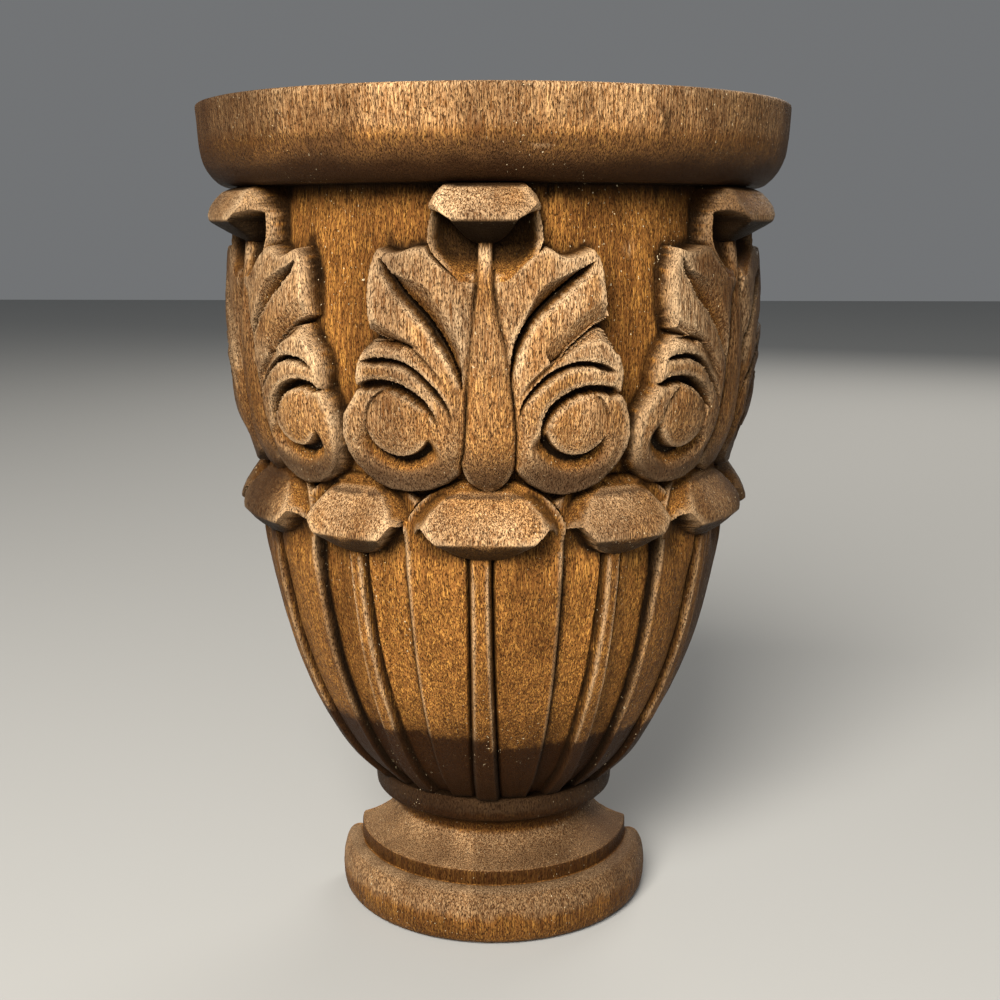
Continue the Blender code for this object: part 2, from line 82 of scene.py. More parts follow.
# The turned block. Its outline runs from the foot's edge up to the rim; each row is radius, level
# and the number of mesh rows up to the next.
block = {
    "height": 203.0,
    "unrolled": 66.0,      # radius at which an unrolled millimetre is true
    "columns": 828,
    "triangles": 190000,
    "crease": 32.0,        # facets that meet at more than this keep a sharp edge
    "foot": [(38.4, 0.0, 3), (39.6, 0.5, 3), (40.4, 1.5, 4), (40.85, 3.5, 4), (40.95, 6.0, 4),
             (40.7, 8.5, 4), (40.1, 10.8, 4), (39.2, 12.6, 4), (38.3, 13.5, 4), (37.2, 13.95, 3),
             (36.2, 14.0, 1), (35.75, 13.75, 1), (35.55, 14.1, 7), (35.6, 17.2, 1),
             (35.45, 17.55, 1),
             (35.0, 17.7, 5), (33.2, 18.3, 6), (30.7, 19.4, 6), (28.3, 20.9, 5), (26.6, 22.6, 5),
             (25.8, 24.3, 4), (26.1, 25.7, 5), (27.3, 27.2, 5), (28.9, 28.2, 4), (30.5, 28.6, 3),
             (31.1, 28.9, 3), (31.5, 29.8, 6), (31.65, 31.9, 6), (31.4, 34.1, 3), (30.9, 34.7, 4),
             (29.6, 34.95, 2)],
    "ground": [(35.0, 29.1), (42.68, 36.36), (52.28, 42.28), (61.88, 46.85), (73.4, 51.02),
               (84.92, 53.85), (99.0, 56.0), (116.5, 54.8), (130.7, 59.14), (152.0, 61.0),
               (183.7, 58.7)],
    "bodyRows": [(99.0, 120), (121.0, 84), (183.7, 256)],
    "rim": [(59.2, 183.7, 5), (63.0, 183.75, 4), (65.6, 183.9, 4), (67.2, 184.6, 4),
            (68.7, 185.9, 4), (70.0, 187.6, 4), (70.9, 189.4, 4), (71.5, 191.2, 5),
            (71.9, 193.5, 6), (72.2, 197.5, 7), (72.42, 202.2, 2), (72.3, 202.75, 2),
            (71.9, 203.0, 0)],
}


# millimetres across for each degree, on the unrolled sheet
perDegree = block["unrolled"] * math.pi / 180


def groundRadius(level):
    # a smooth curve through the stations of the ground
    stations = np.array(block["ground"])
    z, r = stations[:, 0], stations[:, 1]
    slope = np.empty_like(r)
    slope[1:-1] = (r[2:] - r[:-2]) / (z[2:] - z[:-2])
    slope[0] = (r[1] - r[0]) / (z[1] - z[0])
    slope[-1] = (r[-1] - r[-2]) / (z[-1] - z[-2])
    level = np.clip(level, z[0], z[-1])
    i = np.clip(np.searchsorted(z, level, side="right") - 1, 0, len(z) - 2)
    span = z[i + 1] - z[i]
    t = (level - z[i]) / span
    return ((2 * t ** 3 - 3 * t ** 2 + 1) * r[i] + (t ** 3 - 2 * t ** 2 + t) * slope[i] * span
            + (3 * t ** 2 - 2 * t ** 3) * r[i + 1] + (t ** 3 - t ** 2) * slope[i + 1] * span)


def smooth(low, high, value):
    t = np.clip((value - low) / (high - low), 0.0, 1.0)
    return t * t * (3.0 - 2.0 * t)


def ripple(x, z, acrossCell, upCell, seed):
    # slow seeded unevenness between -1 and 1
    table = np.random.RandomState(seed).uniform(-1.0, 1.0, (97, 97))
    u, v = x / acrossCell + 40.0, z / upCell + 3.0
    i, j = np.floor(u).astype(int), np.floor(v).astype(int)
    fu, fv = u - i, v - j
    fu, fv = fu * fu * (3 - 2 * fu), fv * fv * (3 - 2 * fv)
    i0, i1, j0, j1 = i % 97, (i + 1) % 97, j % 97, (j + 1) % 97
    return ((table[i0, j0] * (1 - fu) + table[i1, j0] * fu) * (1 - fv)
            + (table[i0, j1] * (1 - fu) + table[i1, j1] * fu) * fv)


def pathDistance(x, z, path, closed=False):
    # distance to a path, the side it lies on, and how far along it the nearest place is
    points = np.array(path + path[:1] if closed else path)
    steps = np.diff(points, axis=0)
    lengths = np.hypot(steps[:, 0], steps[:, 1])
    before = np.concatenate([[0.0], np.cumsum(lengths)])
    best = np.full(x.shape, 1e9)
    side = np.zeros(x.shape)
    along = np.zeros(x.shape)
    for k in range(len(steps)):
        px, pz = x - points[k, 0], z - points[k, 1]
        t = np.clip((px * steps[k, 0] + pz * steps[k, 1]) / lengths[k] ** 2, 0.0, 1.0)
        far = np.hypot(px - t * steps[k, 0], pz - t * steps[k, 1])
        near = far < best
        best[near] = far[near]
        side[near] = np.sign(steps[k, 0] * pz - steps[k, 1] * px)[near]
        along[near] = (before[k] + t * lengths[k])[near]
    return best, side, along / before[-1]


def insideOutline(x, z, outline):
    inside = np.zeros(x.shape, bool)
    for (x0, z0), (x1, z1) in zip(outline, outline[1:] + outline[:1]):
        if z0 == z1:
            continue
        crosses = (z0 > z) != (z1 > z)
        inside ^= crosses & (x < (x1 - x0) * (z - z0) / (z1 - z0) + x0)
    return inside


def edgeDistance(x, z, outline):
    # distance to an outline, positive inside it
    far = pathDistance(x, z, outline, closed=True)[0]
    return np.where(insideOutline(x, z, outline), far, -far)


def unrolled(points):
    return [(a * perDegree, z) for a, z in points]


def rounded(path, times=2):
    # cuts the corners of an open path so that it runs smoothly
    for _ in range(times):
        out = [path[0]]
        for (x0, z0), (x1, z1) in zip(path, path[1:]):
            out.append((0.75 * x0 + 0.25 * x1, 0.75 * z0 + 0.25 * z1))
            out.append((0.25 * x0 + 0.75 * x1, 0.25 * z0 + 0.75 * z1))
        out.append(path[-1])
        path = out
    return path


def plate(edge, top, spread=0.7, softening=0.25, reach=0.6):
    # a raised form with steep sides and a slightly worn edge
    worn = softening * np.clip(1.0 - edge / reach, 0.0, 1.0) ** 2
    return np.clip(1.0 + edge / spread, 0.0, 1.0) * (top - worn)


# The two sides of a leaf cluster. Points are degrees out from the middle and levels above the foot;
# the eye is degrees, level and radius, and under is where its crescent starts and ends, in degrees.
leaf = {
    "stand": 5.9,
    "centres": (-60.0, 0.0, 60.0),
    # width and depth of the three gouge cuts of each side, and depth of its three slopes
    "upperCut": (2.1, 3.3),
    "middleCut": (1.6, 2.9),
    "eyeCut": (2.5, 3.5),
    "slopeDepths": (2.9, 1.8, 1.7),
    "creaseDepth": 1.3,
    "underDepth": 3.7,
    "underWidth": 3.9,
    "besideStalk": 1.5,
}
leftSide = {
    "outline": [(0.0, 163.0), (4.4, 163.6), (5.6, 164.9), (7.6, 166.5), (9.5, 168.5), (10.7, 170.4),
                (13.1, 170.3), (15.4, 169.4), (17.2, 169.25), (19.8, 170.1), (20.5, 168.7),
                (21.4, 165.5), (21.8, 160.0), (21.5, 156.0), (20.8, 153.3), (18.8, 152.2),
                (16.4, 150.9), (18.6, 151.0), (20.4, 151.1), (22.4, 149.25), (24.0, 146.0),
                (24.5, 143.0), (24.3, 140.6), (25.4, 138.5), (27.7, 135.0), (28.5, 130.5),
                (28.1, 126.5), (27.0, 123.5), (25.4, 121.5), (23.1, 119.5), (19.9, 118.1),
                (15.8, 117.75), (11.7, 118.25), (8.1, 119.75), (5.6, 121.75), (4.3, 124.2),
                (3.0, 126.0), (0.0, 126.0)],
    "upperCut": [(19.3, 168.3), (17.2, 164.5), (14.7, 160.5), (11.7, 157.5), (9.0, 154.0),
                 (6.7, 150.0), (5.4, 147.0), (4.4, 144.0), (3.9, 141.0)],
    "ridge": [(17.4, 165.4), (14.0, 164.2), (11.7, 163.6), (9.9, 162.5), (8.1, 159.5),
              (6.3, 156.0), (4.6, 152.5), (3.7, 149.5), (3.8, 146.0)],
    "lobeBreak": [(20.8, 155.5), (18.0, 153.9), (14.5, 152.0), (11.5, 149.6)],
    "notchTop": [(20.8, 153.3), (18.8, 152.2), (16.4, 150.9), (13.6, 149.6)],
    "rollTop": [(23.0, 147.8), (20.8, 149.2), (18.0, 149.5), (15.2, 148.7)],
    "notchFoot": [(22.4, 149.4), (20.4, 151.1), (18.6, 151.0), (16.4, 150.9), (14.6, 150.2)],
    "crease": [(16.8, 150.9), (14.5, 150.3), (12.2, 148.7), (9.8, 145.7), (7.6, 142.4),
               (5.8, 138.6)],
    "middleCut": [(23.3, 146.5), (20.4, 147.0), (17.2, 147.0), (14.0, 146.0), (11.7, 144.0),
                  (9.5, 141.5), (7.4, 138.7), (6.1, 136.0), (5.6, 133.6)],
    "eyeCut": [(24.9, 140.7), (23.2, 141.5), (21.3, 142.0), (18.6, 142.1), (15.8, 141.5),
               (13.1, 139.8), (10.8, 137.7), (9.4, 135.6), (8.5, 133.2)],
    "eye": (16.5, 133.5, 7.55),
    "under": (-152.0, -4.0),
}
rightSide = {
    "outline": [(0.0, 163.4), (4.0, 163.4), (5.2, 164.2), (6.9, 166.0), (9.1, 168.4), (11.8, 170.4),
                (12.9, 169.9), (14.6, 168.6), (16.4, 168.3), (18.3, 168.8), (20.8, 170.0),
                (21.9, 168.4), (22.6, 166.0), (23.0, 162.0), (23.3, 158.5), (23.5, 156.0),
                (22.6, 155.5), (20.5, 154.4), (17.8, 152.0), (15.5, 149.8), (14.0, 147.3),
                (15.7, 148.9), (18.1, 150.9), (20.7, 153.0), (22.4, 153.4), (23.6, 151.3),
                (24.6, 149.5), (26.0, 147.5), (26.8, 144.5), (26.7, 141.0), (26.5, 139.6),
                (27.8, 137.5), (28.9, 134.0), (29.4, 130.5), (29.2, 127.5), (28.3, 124.5),
                (26.9, 122.0), (24.6, 119.5), (21.4, 118.0), (16.9, 117.1), (13.3, 117.75),
                (10.1, 119.5), (7.8, 121.75), (6.2, 124.0), (4.6, 126.0), (0.0, 126.0)],
    "upperCut": [(21.0, 167.6), (18.7, 165.5), (16.0, 163.0), (13.3, 160.5), (10.5, 157.7),
                 (8.3, 155.0), (6.8, 152.0), (5.9, 149.0), (5.4, 145.5), (5.3, 141.6)],
    "ridge": [(19.2, 166.6), (16.8, 165.6), (14.6, 164.6), (12.0, 163.5), (10.1, 161.5),
              (8.7, 158.5), (7.6, 155.3), (6.6, 152.4)],
    "lobeBreak": [(23.2, 158.9), (22.3, 160.0), (19.2, 157.5), (15.5, 154.5), (12.6, 151.5),
                  (11.4, 149.2)],
    "notchTop": [(23.5, 156.0), (20.5, 154.4), (17.8, 152.0), (15.5, 149.8), (14.0, 147.3),
                 (12.4, 146.4)],
    "rollTop": [(25.6, 147.6), (24.0, 149.6), (22.4, 150.9), (20.2, 151.0), (17.4, 149.6),
                (15.2, 147.9)],
    "notchFoot": [(25.6, 148.4), (24.6, 149.5), (23.6, 151.3), (22.4, 153.4), (20.7, 153.0),
                  (18.1, 150.9), (15.7, 148.9), (14.2, 147.5)],
    "crease": [(14.0, 147.3), (12.0, 145.3), (10.0, 143.4), (8.2, 141.0), (6.9, 138.0)],
    "middleCut": [(25.4, 144.2), (22.8, 145.7), (20.1, 146.4), (17.3, 146.4), (15.1, 145.6),
                  (12.3, 143.9), (10.1, 141.6), (8.3, 139.3), (7.3, 137.2), (6.9, 134.4)],
    "eyeCut": [(27.0, 139.4), (25.4, 140.2), (23.7, 140.8), (21.0, 141.1), (18.3, 140.7),
               (16.0, 139.6), (13.7, 137.7), (12.1, 135.4), (11.4, 133.0), (11.3, 130.6),
               (11.9, 128.4)],
    "eye": (18.3, 133.5, 7.2),
    "under": (-165.0, -20.0),
}

# Stalk of each cluster: level, middle and half-width in degrees
stalk = {
    "stand": 5.5,
    "grooveDepth": 1.7,
    "run": [(117.6, 1.1, 0.3), (118.0, 1.1, 1.5), (118.8, 1.0, 2.7), (120.5, 0.8, 4.2),
            (122.6, 0.9, 5.1), (124.5, 1.0, 5.4), (127.0, 1.3, 5.0), (131.0, 1.5, 4.8),
            (138.0, 1.4, 4.3), (143.0, 1.2, 3.9), (150.0, 1.0, 3.2), (155.0, 0.65, 2.35),
            (160.0, 0.5, 1.8), (165.0, 0.55, 1.45), (171.0, 0.5, 1.25), (173.0, 0.5, 1.25)],
}

# Curl under the rim: the cap bends forward, the backing behind it is scooped out on both sides
curl = {
    "middle": 0.55,
    "cap": [(-9.0, 184.6), (6.9, 184.6), (6.9, 183.9), (8.5, 180.6), (8.8, 179.3), (7.2, 177.3),
            (5.6, 176.1), (4.9, 174.6), (3.8, 173.0), (2.2, 171.8), (0.8, 171.3), (0.0, 171.2),
            (-9.0, 171.2)],
    "backing": [(-9.0, 184.6), (6.9, 184.6), (6.9, 183.9), (8.9, 181.2), (9.9, 178.2),
                (10.5, 175.0), (10.75, 172.0), (9.9, 169.6), (8.0, 167.2), (6.2, 165.2),
                (4.6, 163.4), (-9.0, 163.0)],
    "roof": [(171.2, 4.4), (171.8, 5.2), (172.5, 6.8), (173.5, 9.0), (174.6, 10.9),
             (175.6, 12.0), (176.2, 12.35), (177.3, 12.3), (179.0, 11.6), (181.0, 10.4),
             (182.4, 9.2), (183.2, 7.6), (183.7, 5.4)],
    "archFoot": 177.6,
    "scoopEdge": 5.6,
    "scoopDepth": [(163.0, 0.0), (164.5, 0.7), (166.0, 1.9), (168.0, 3.2), (172.0, 4.2),
                   (176.0, 4.6), (179.0, 4.7)],
}

# Petals of the cup, and the lip that each turns over
petal = {
    "back": {"centres": (-90.0, -30.0, 30.0, 90.0), "seed": 11, "stand": 1.0, "half": 17.4,
             "ribMiddle": -0.3, "lipMiddle": 0.6, "narrow": 1.22, "hollowAt": 9.0,
             "wing": "backWing"},
    "front": {"centres": (-60.0, 0.0, 60.0), "seed": 14, "stand": 2.0, "half": 17.4,
              "ribMiddle": -0.8, "lipMiddle": 0.3, "narrow": 1.0, "hollowAt": 11.0,
              "wing": "wing"},
    "hollowWidth": 4.6,    # of the hollows under a lip
    "hollowDepth": 3.0,
    "ribWidth": 5.3,
    "ribStand": 1.5,
    "seamDepth": 1.7,
    "tip": [(-9.0, 119.8), (6.4, 119.6), (9.2, 118.5), (12.6, 116.6), (14.8, 114.6), (16.6, 112.0),
            (17.4, 108.0), (17.4, 30.0), (-9.0, 30.0)],
    "facet": [(-9.0, 118.2), (5.6, 118.0), (9.0, 116.2), (11.3, 113.4), (12.8, 110.2),
              (11.2, 108.4), (10.0, 107.2), (9.2, 106.0), (7.6, 104.6), (5.4, 103.4),
              (3.0, 102.7), (0.0, 102.5), (-9.0, 102.5)],
    "wing": [(-9.0, 119.0), (6.4, 119.2), (9.2, 118.3), (12.6, 116.6), (14.8, 114.6),
             (16.6, 112.0), (17.4, 108.0), (17.4, 101.5), (16.6, 104.6), (15.4, 107.8),
             (14.2, 109.6), (12.8, 110.2), (11.0, 108.6), (-9.0, 108.6)],
    "backWing": [(-9.0, 119.0), (6.4, 119.2), (9.2, 118.3), (12.6, 116.6), (14.8, 114.6),
                 (16.6, 112.0), (17.4, 108.0), (17.4, 101.5), (16.2, 104.6), (14.4, 107.8),
                 (12.4, 109.6), (10.5, 110.2), (9.0, 108.6), (-9.0, 108.6)],
    "roof": [(102.4, 3.0), (103.4, 4.9), (104.6, 6.9), (105.8, 8.4), (107.2, 9.45), (108.2, 9.5),
             (109.6, 9.2), (111.3, 8.6), (113.5, 7.3), (115.7, 5.7), (118.2, 3.4), (119.8, 1.8)],
}


def lookUp(value, table, column=1):
    rows = np.array(table)
    return np.interp(value, rows[:, 0], rows[:, column])


def gougeCut(height, stainAndShade, x, z, path, width, depth, seed, lean=0.68):
    # a V cut with its steep wall on the upper side; it runs out to nothing at both ends
    far, side, along = pathDistance(x, z, path)
    taper = np.minimum(1.0, np.minimum(along / 0.10, (1.0 - along) / 0.32)).clip(0.0, 1.0) ** 0.6
    ragged = 1.0 + 0.22 * ripple(along * 60.0, x * 0.4, 1.0, 1.0, seed)
    reach = width * taper * ragged * np.where(side < 0, 1.0 - lean, lean) + 0.02
    cut = np.clip(1.0 - far / reach, 0.0, 1.0)
    shoulder = 0.38 * taper * np.clip(1.0 - (far - reach) / 1.5, 0.0, 1.0) ** 2 * (far >= reach)
    # the cut and its shoulder are darkened: stain with painted shade
    np.maximum(stainAndShade, np.clip(1.25 * cut + 0.35 * shoulder, 0.0, 1.0) * taper, out=stainAndShade)
    return height - np.minimum(depth * taper * np.minimum(1.0, cut * 1.6), height * 0.92) - shoulder


def facetBetween(x, z, high, low):
    # 0 on the high line, 1 on the low one, and 0 outside the two
    region = high + low[::-1]
    inside = insideOutline(x, z, region)
    toHigh = pathDistance(x[inside], z[inside], high)[0]
    toLow = pathDistance(x[inside], z[inside], low)[0]
    out = np.zeros(x.shape)
    out[inside] = toHigh / (toHigh + toLow + 1e-6)
    return out


def halfLeaf(a, z, side, seed):
    # height above the ground, stain with painted shade in the cuts, and painted shade on the slopes
    x = a * perDegree
    outline = unrolled(side["outline"])
    edge = edgeDistance(x, z, outline)
    top = np.full(x.shape, leaf["stand"])
    top -= 0.45 * smooth(134.0, 120.0, z)
    upper, ridge = rounded(unrolled(side["upperCut"])), rounded(unrolled(side["ridge"]))
    slopes = [facetBetween(x, z, ridge, upper),
              facetBetween(x, z, rounded(unrolled(side["lobeBreak"])), unrolled(side["notchTop"])),
              facetBetween(x, z, rounded(unrolled(side["rollTop"])), unrolled(side["notchFoot"]))]
    for depth, slope in zip(leaf["slopeDepths"], slopes):
        top -= depth * slope
    # painted shade: the slopes that face away from the light are darkened
    shaded = np.maximum(smooth(0.0, 0.12, slopes[0]),
                        0.5 * smooth(0.0, 0.12, slopes[1] + slopes[2]))
    far, way, along = pathDistance(x, z, rounded(unrolled(side["crease"])))
    runOut = np.clip((1.0 - along) / 0.4, 0.0, 1.0)
    crease = np.clip(1.0 - far / np.where(way < 0, 0.8, 2.8), 0.0, 1.0) ** 1.4
    top -= leaf["creaseDepth"] * runOut * crease
    # painted shade on the lobe beside the stalk
    inner = (pathDistance(x, z, upper)[1] < 0.0) * smooth(141.0, 147.0, z)
    shaded = np.maximum(shaded, 0.30 * inner)
    stainAndShade = np.zeros(x.shape)
    top = gougeCut(top, stainAndShade, x, z, upper, *leaf["upperCut"], seed)
    middleCut = rounded(unrolled(side["middleCut"]))
    top = gougeCut(top, stainAndShade, x, z, middleCut, *leaf["middleCut"], seed + 1)
    eyeAcross, eyeLevel, eyeRadius = side["eye"]
    eyeX = eyeAcross * perDegree
    reach = np.hypot(x - eyeX, z - eyeLevel)
    turn = np.degrees(np.arctan2(z - eyeLevel, x - eyeX))
    dome = 0.55 * np.clip(reach / eyeRadius, 0.0, 1.0) ** 3
    upperHalf = smooth(-20.0, 30.0, turn) * smooth(200.0, 170.0, turn)
    top -= np.where(reach < eyeRadius, dome * (0.6 + 1.3 * upperHalf), 0.0)
    eyeCut = rounded(unrolled(side["eyeCut"]))
    top = gougeCut(top, stainAndShade, x, z, eyeCut, *leaf["eyeCut"], seed + 2)
    # the crescent below the eye: a wall at the eye, a slope outwards
    first, last = side["under"]
    ends = smooth(first - 6.0, first + 16.0, turn) * smooth(last + 4.0, last - 34.0, turn)
    out = reach - eyeRadius
    width = leaf["underWidth"] * (0.45 + 0.55 * ends)
    gutter = 0.25 + 1.0 * ends
    slope = np.clip(1.0 - (out - gutter) / width, 0.0, 1.0)
    slope = np.where(out < gutter, 1.0, slope ** 1.15)
    wall = np.clip((out + 0.12) / 0.3, 0.0, 1.0)
    marks = 0.16 * np.sin(np.radians(turn) * eyeRadius * 3.4 + 2.0 * np.sin(turn / 9.0))
    sunk = (leaf["underDepth"] + marks * (out > 1.3)) * ends * slope * wall
    inArc = (turn < last + 4.0) & (turn > first - 6.0)
    sunk = np.where(inArc, sunk, 0.0)
    # the gutter at the eye's wall is darkened: stain with painted shade
    dark = np.clip(ends * wall * (out < gutter + 0.35 * ends), 0.0, 1.0)
    stainAndShade = np.maximum(stainAndShade, dark * (out > -0.1) * inArc)
    top = top - np.minimum(sunk, top * 0.8)
    # beside the stalk the blades fall into its groove
    middle, half = lookUp(z, stalk["run"], 1), lookUp(z, stalk["run"], 2)
    signed = -1.0 if side is leftSide else 1.0
    beside = x - (half + signed * middle) * perDegree
    fall = leaf["besideStalk"] * np.exp(-(np.maximum(beside, 0.0) / 2.0) ** 2)
    top -= np.where(beside > -0.3, fall, 0.0) * smooth(163.0, 158.0, z)
    top += 0.10 * ripple(x, z, 3.1, 4.3, seed + 5) + 0.05 * ripple(x, z, 1.2, 1.6, seed + 6)
    height = plate(edge, top)
    stainAndShade = np.where(edge > -0.1, stainAndShade, 0.0)
    return height, stainAndShade, shaded


def stalkForm(a, z, seed):
    # rounded stem with a groove on each side
    middle, half = lookUp(z, stalk["run"], 1), lookUp(z, stalk["run"], 2)
    u = (a - middle) / np.maximum(half, 0.2)
    crown = stalk["stand"] - 0.35 * smooth(126.0, 118.0, z) - 0.5 * smooth(150.0, 172.0, z)
    shape = crown - 1.15 * np.abs(u) ** 2.2 - 1.3 * smooth(120.5, 117.6, z)
    shape += 0.09 * ripple(a * perDegree, z, 1.4, 7.0, seed)
    edge = (1.0 - np.abs(u)) * half * perDegree
    edge = np.minimum(edge, (z - 117.5) * 0.9)
    height = plate(edge, shape)
    return np.where((z > 116.5) & (z < 173.0), height, 0.0), np.abs(u), edge


def curlForm(a, z, seed):
    # height of the curl with its scoops, the mask of its bright front face, and a mask of painted
    # shade in its scoops and under its cap
    x = np.abs(a - curl["middle"]) * perDegree
    backing, cap = unrolled(curl["backing"]), unrolled(curl["cap"])
    edge = edgeDistance(x, z, backing)
    capEdge = edgeDistance(x, z, cap)
    roof = lookUp(z, curl["roof"])
    bowl = np.where(z < 176.0, 0.045 * x ** 2 * smooth(176.2, 173.5, z), 0.0)
    capTop = roof - bowl - 0.25 * np.clip(1.0 - np.abs(capEdge) / 0.7, 0.0, 1.0) ** 2
    capHeight = capTop * np.clip(1.0 + capEdge / 0.5, 0.0, 1.0)
    wing = roof - 0.4 - 1.55 * np.clip(-capEdge, 0.0, 4.0)
    arch = smooth(curl["archFoot"] - 0.35, curl["archFoot"] + 0.35, z - 0.33 * (x - 9.6))
    depth = lookUp(z, curl["scoopDepth"])
    hollow = curl["scoopEdge"] - depth * smooth(0.1, 3.4, edge) ** 0.7
    shape = hollow * (1.0 - arch) + np.maximum(hollow, wing) * arch
    shape += 0.07 * ripple(x, z, 1.6, 2.2, seed)
    height = np.clip(1.0 + edge / 0.6, 0.0, 1.0) * shape
    height = np.maximum(height, capHeight)
    height = np.where(z > 162.5, height, 0.0)
    front = np.clip(capEdge / 0.3, 0.0, 1.0) * smooth(175.9, 176.4, z)
    # painted shade: dark towards the depth of the scoops and under the cap
    dark = smooth(0.3, 1.6, edge) * (1.0 - arch) * (capEdge < 0.1) * smooth(163.5, 169.5, z)
    under = (capEdge > 0.0) * smooth(176.4, 175.6, z)
    return height, front, np.maximum(dark * 0.9, under)


def petalForm(a, z, kind, seed):
    # height of one petal with its rib, lip and hollows, and its masks
    own = petal[kind]
    narrow = own["narrow"]
    x = (a - own["ribMiddle"]) * math.pi / 180 * groundRadius(z)
    lipAcross = np.abs(a - own["lipMiddle"])
    lipX = lipAcross * perDegree
    edge = edgeDistance(lipX, z, unrolled(petal["tip"]))
    edge = np.where(z < 111.0, (own["half"] - np.abs(a)) * perDegree, edge)
    stand = own["stand"]
    panel = np.full(x.shape, stand)
    panel += 0.35 * (1.0 - np.clip(np.abs(a) / own["half"], 0.0, 1.0) ** 4) * smooth(36.0, 50.0, z)
    # towards the lip the panel swells forward, hollowed on each side of the rib
    flare = 2.1 * smooth(92.0, 108.5, z) + 1.2 * smooth(103.0, 111.0, z)
    hollowed = np.exp(-((lipAcross - own["hollowAt"]) / petal["hollowWidth"]) ** 2)
    flare -= petal["hollowDepth"] * hollowed * smooth(94.0, 105.0, z)
    panel += flare * smooth(0.0, 3.5, lipAcross)
    rib = petal["ribWidth"] / 2 * (0.92 + 0.16 * smooth(90.0, 45.0, z)) / (narrow ** 0.8)
    if kind == "back":
        hollow = np.clip((np.abs(a) - 2.4) / 5.6, 0.0, 1.0)
        panel -= 1.5 * np.sin(np.pi / 2 * hollow) * smooth(108.0, 100.0, z)
    off = np.abs(x)
    ribTop = stand + petal["ribStand"] + 0.15 - 0.35 * np.clip(off / rib, 0.0, 1.0) ** 3
    height = np.where(off < rib, ribTop + 0.6 * smooth(98.0, 104.0, z), panel)
    seam = np.clip(1.0 - np.abs(off - rib) / 0.8, 0.0, 1.0)
    height -= petal["seamDepth"] * seam
    height -= 0.7 * np.exp(-np.maximum(off - rib, 0.0) / 1.8) * (off > rib)
    if kind == "front":
        height += 0.35 * np.exp(-((edge - 1.1) / 1.0) ** 2) * (z < 104.0)
        height -= 0.5 * np.exp(-np.maximum(edge, 0.0) / 0.5) * (z < 108.0)
    height = np.maximum(height, 0.05)
    height += 0.09 * ripple(x, z, 2.6, 9.0, seed) + 0.04 * ripple(x, z, 1.1, 3.0, seed + 1)
    roof = lookUp(z, petal["roof"])
    height = np.where(z > 107.0, np.minimum(height, roof - 0.5), height)
    facet = edgeDistance(lipX * narrow, z, unrolled(petal["facet"]))
    bowl = 0.022 * lipX ** 2 * smooth(107.2, 104.6, z)
    facetTop = roof - bowl - 0.3 * np.clip(1.0 - np.abs(facet) / 0.8, 0.0, 1.0) ** 2
    lip = facetTop * np.clip(1.0 + facet / 0.5, 0.0, 1.0)
    wingEdge = edgeDistance(lipX, z, unrolled(petal[own["wing"]]))
    wingTop = np.clip(roof - 0.3 - 1.35 * np.clip(-facet, 0.0, 6.0), 1.6, 9.0)
    wing = np.where(facet > -8.0, wingTop * np.clip(1.0 + wingEdge / 0.45, 0.0, 1.0), 0.0)
    lip = np.maximum(lip, wing)
    height = np.maximum(height, np.where(z > 101.5, lip, 0.0))
    height *= np.clip(1.0 + edge / 0.5, 0.0, 1.0)
    front = np.clip(facet / 0.3, 0.0, 1.0) * smooth(106.9, 107.4, z)
    # painted shade under the lip and in the hollows beneath it; stain with painted shade in the
    # seams beside the rib
    under = (facet > 0.0) * smooth(107.3, 106.6, z) * (z > 102.0)
    scoop = 0.55 * hollowed * smooth(100.0, 106.5, z) * (lip < 1.0)
    side = np.clip(wingEdge / 0.3, 0.0, 1.0) * (facet <= 0.0)
    stainAndShade = seam * 0.9 * smooth(107.0, 104.0, z)
    return height, front, np.maximum.reduce([stainAndShade, under * 0.8, scoop]), side, edge


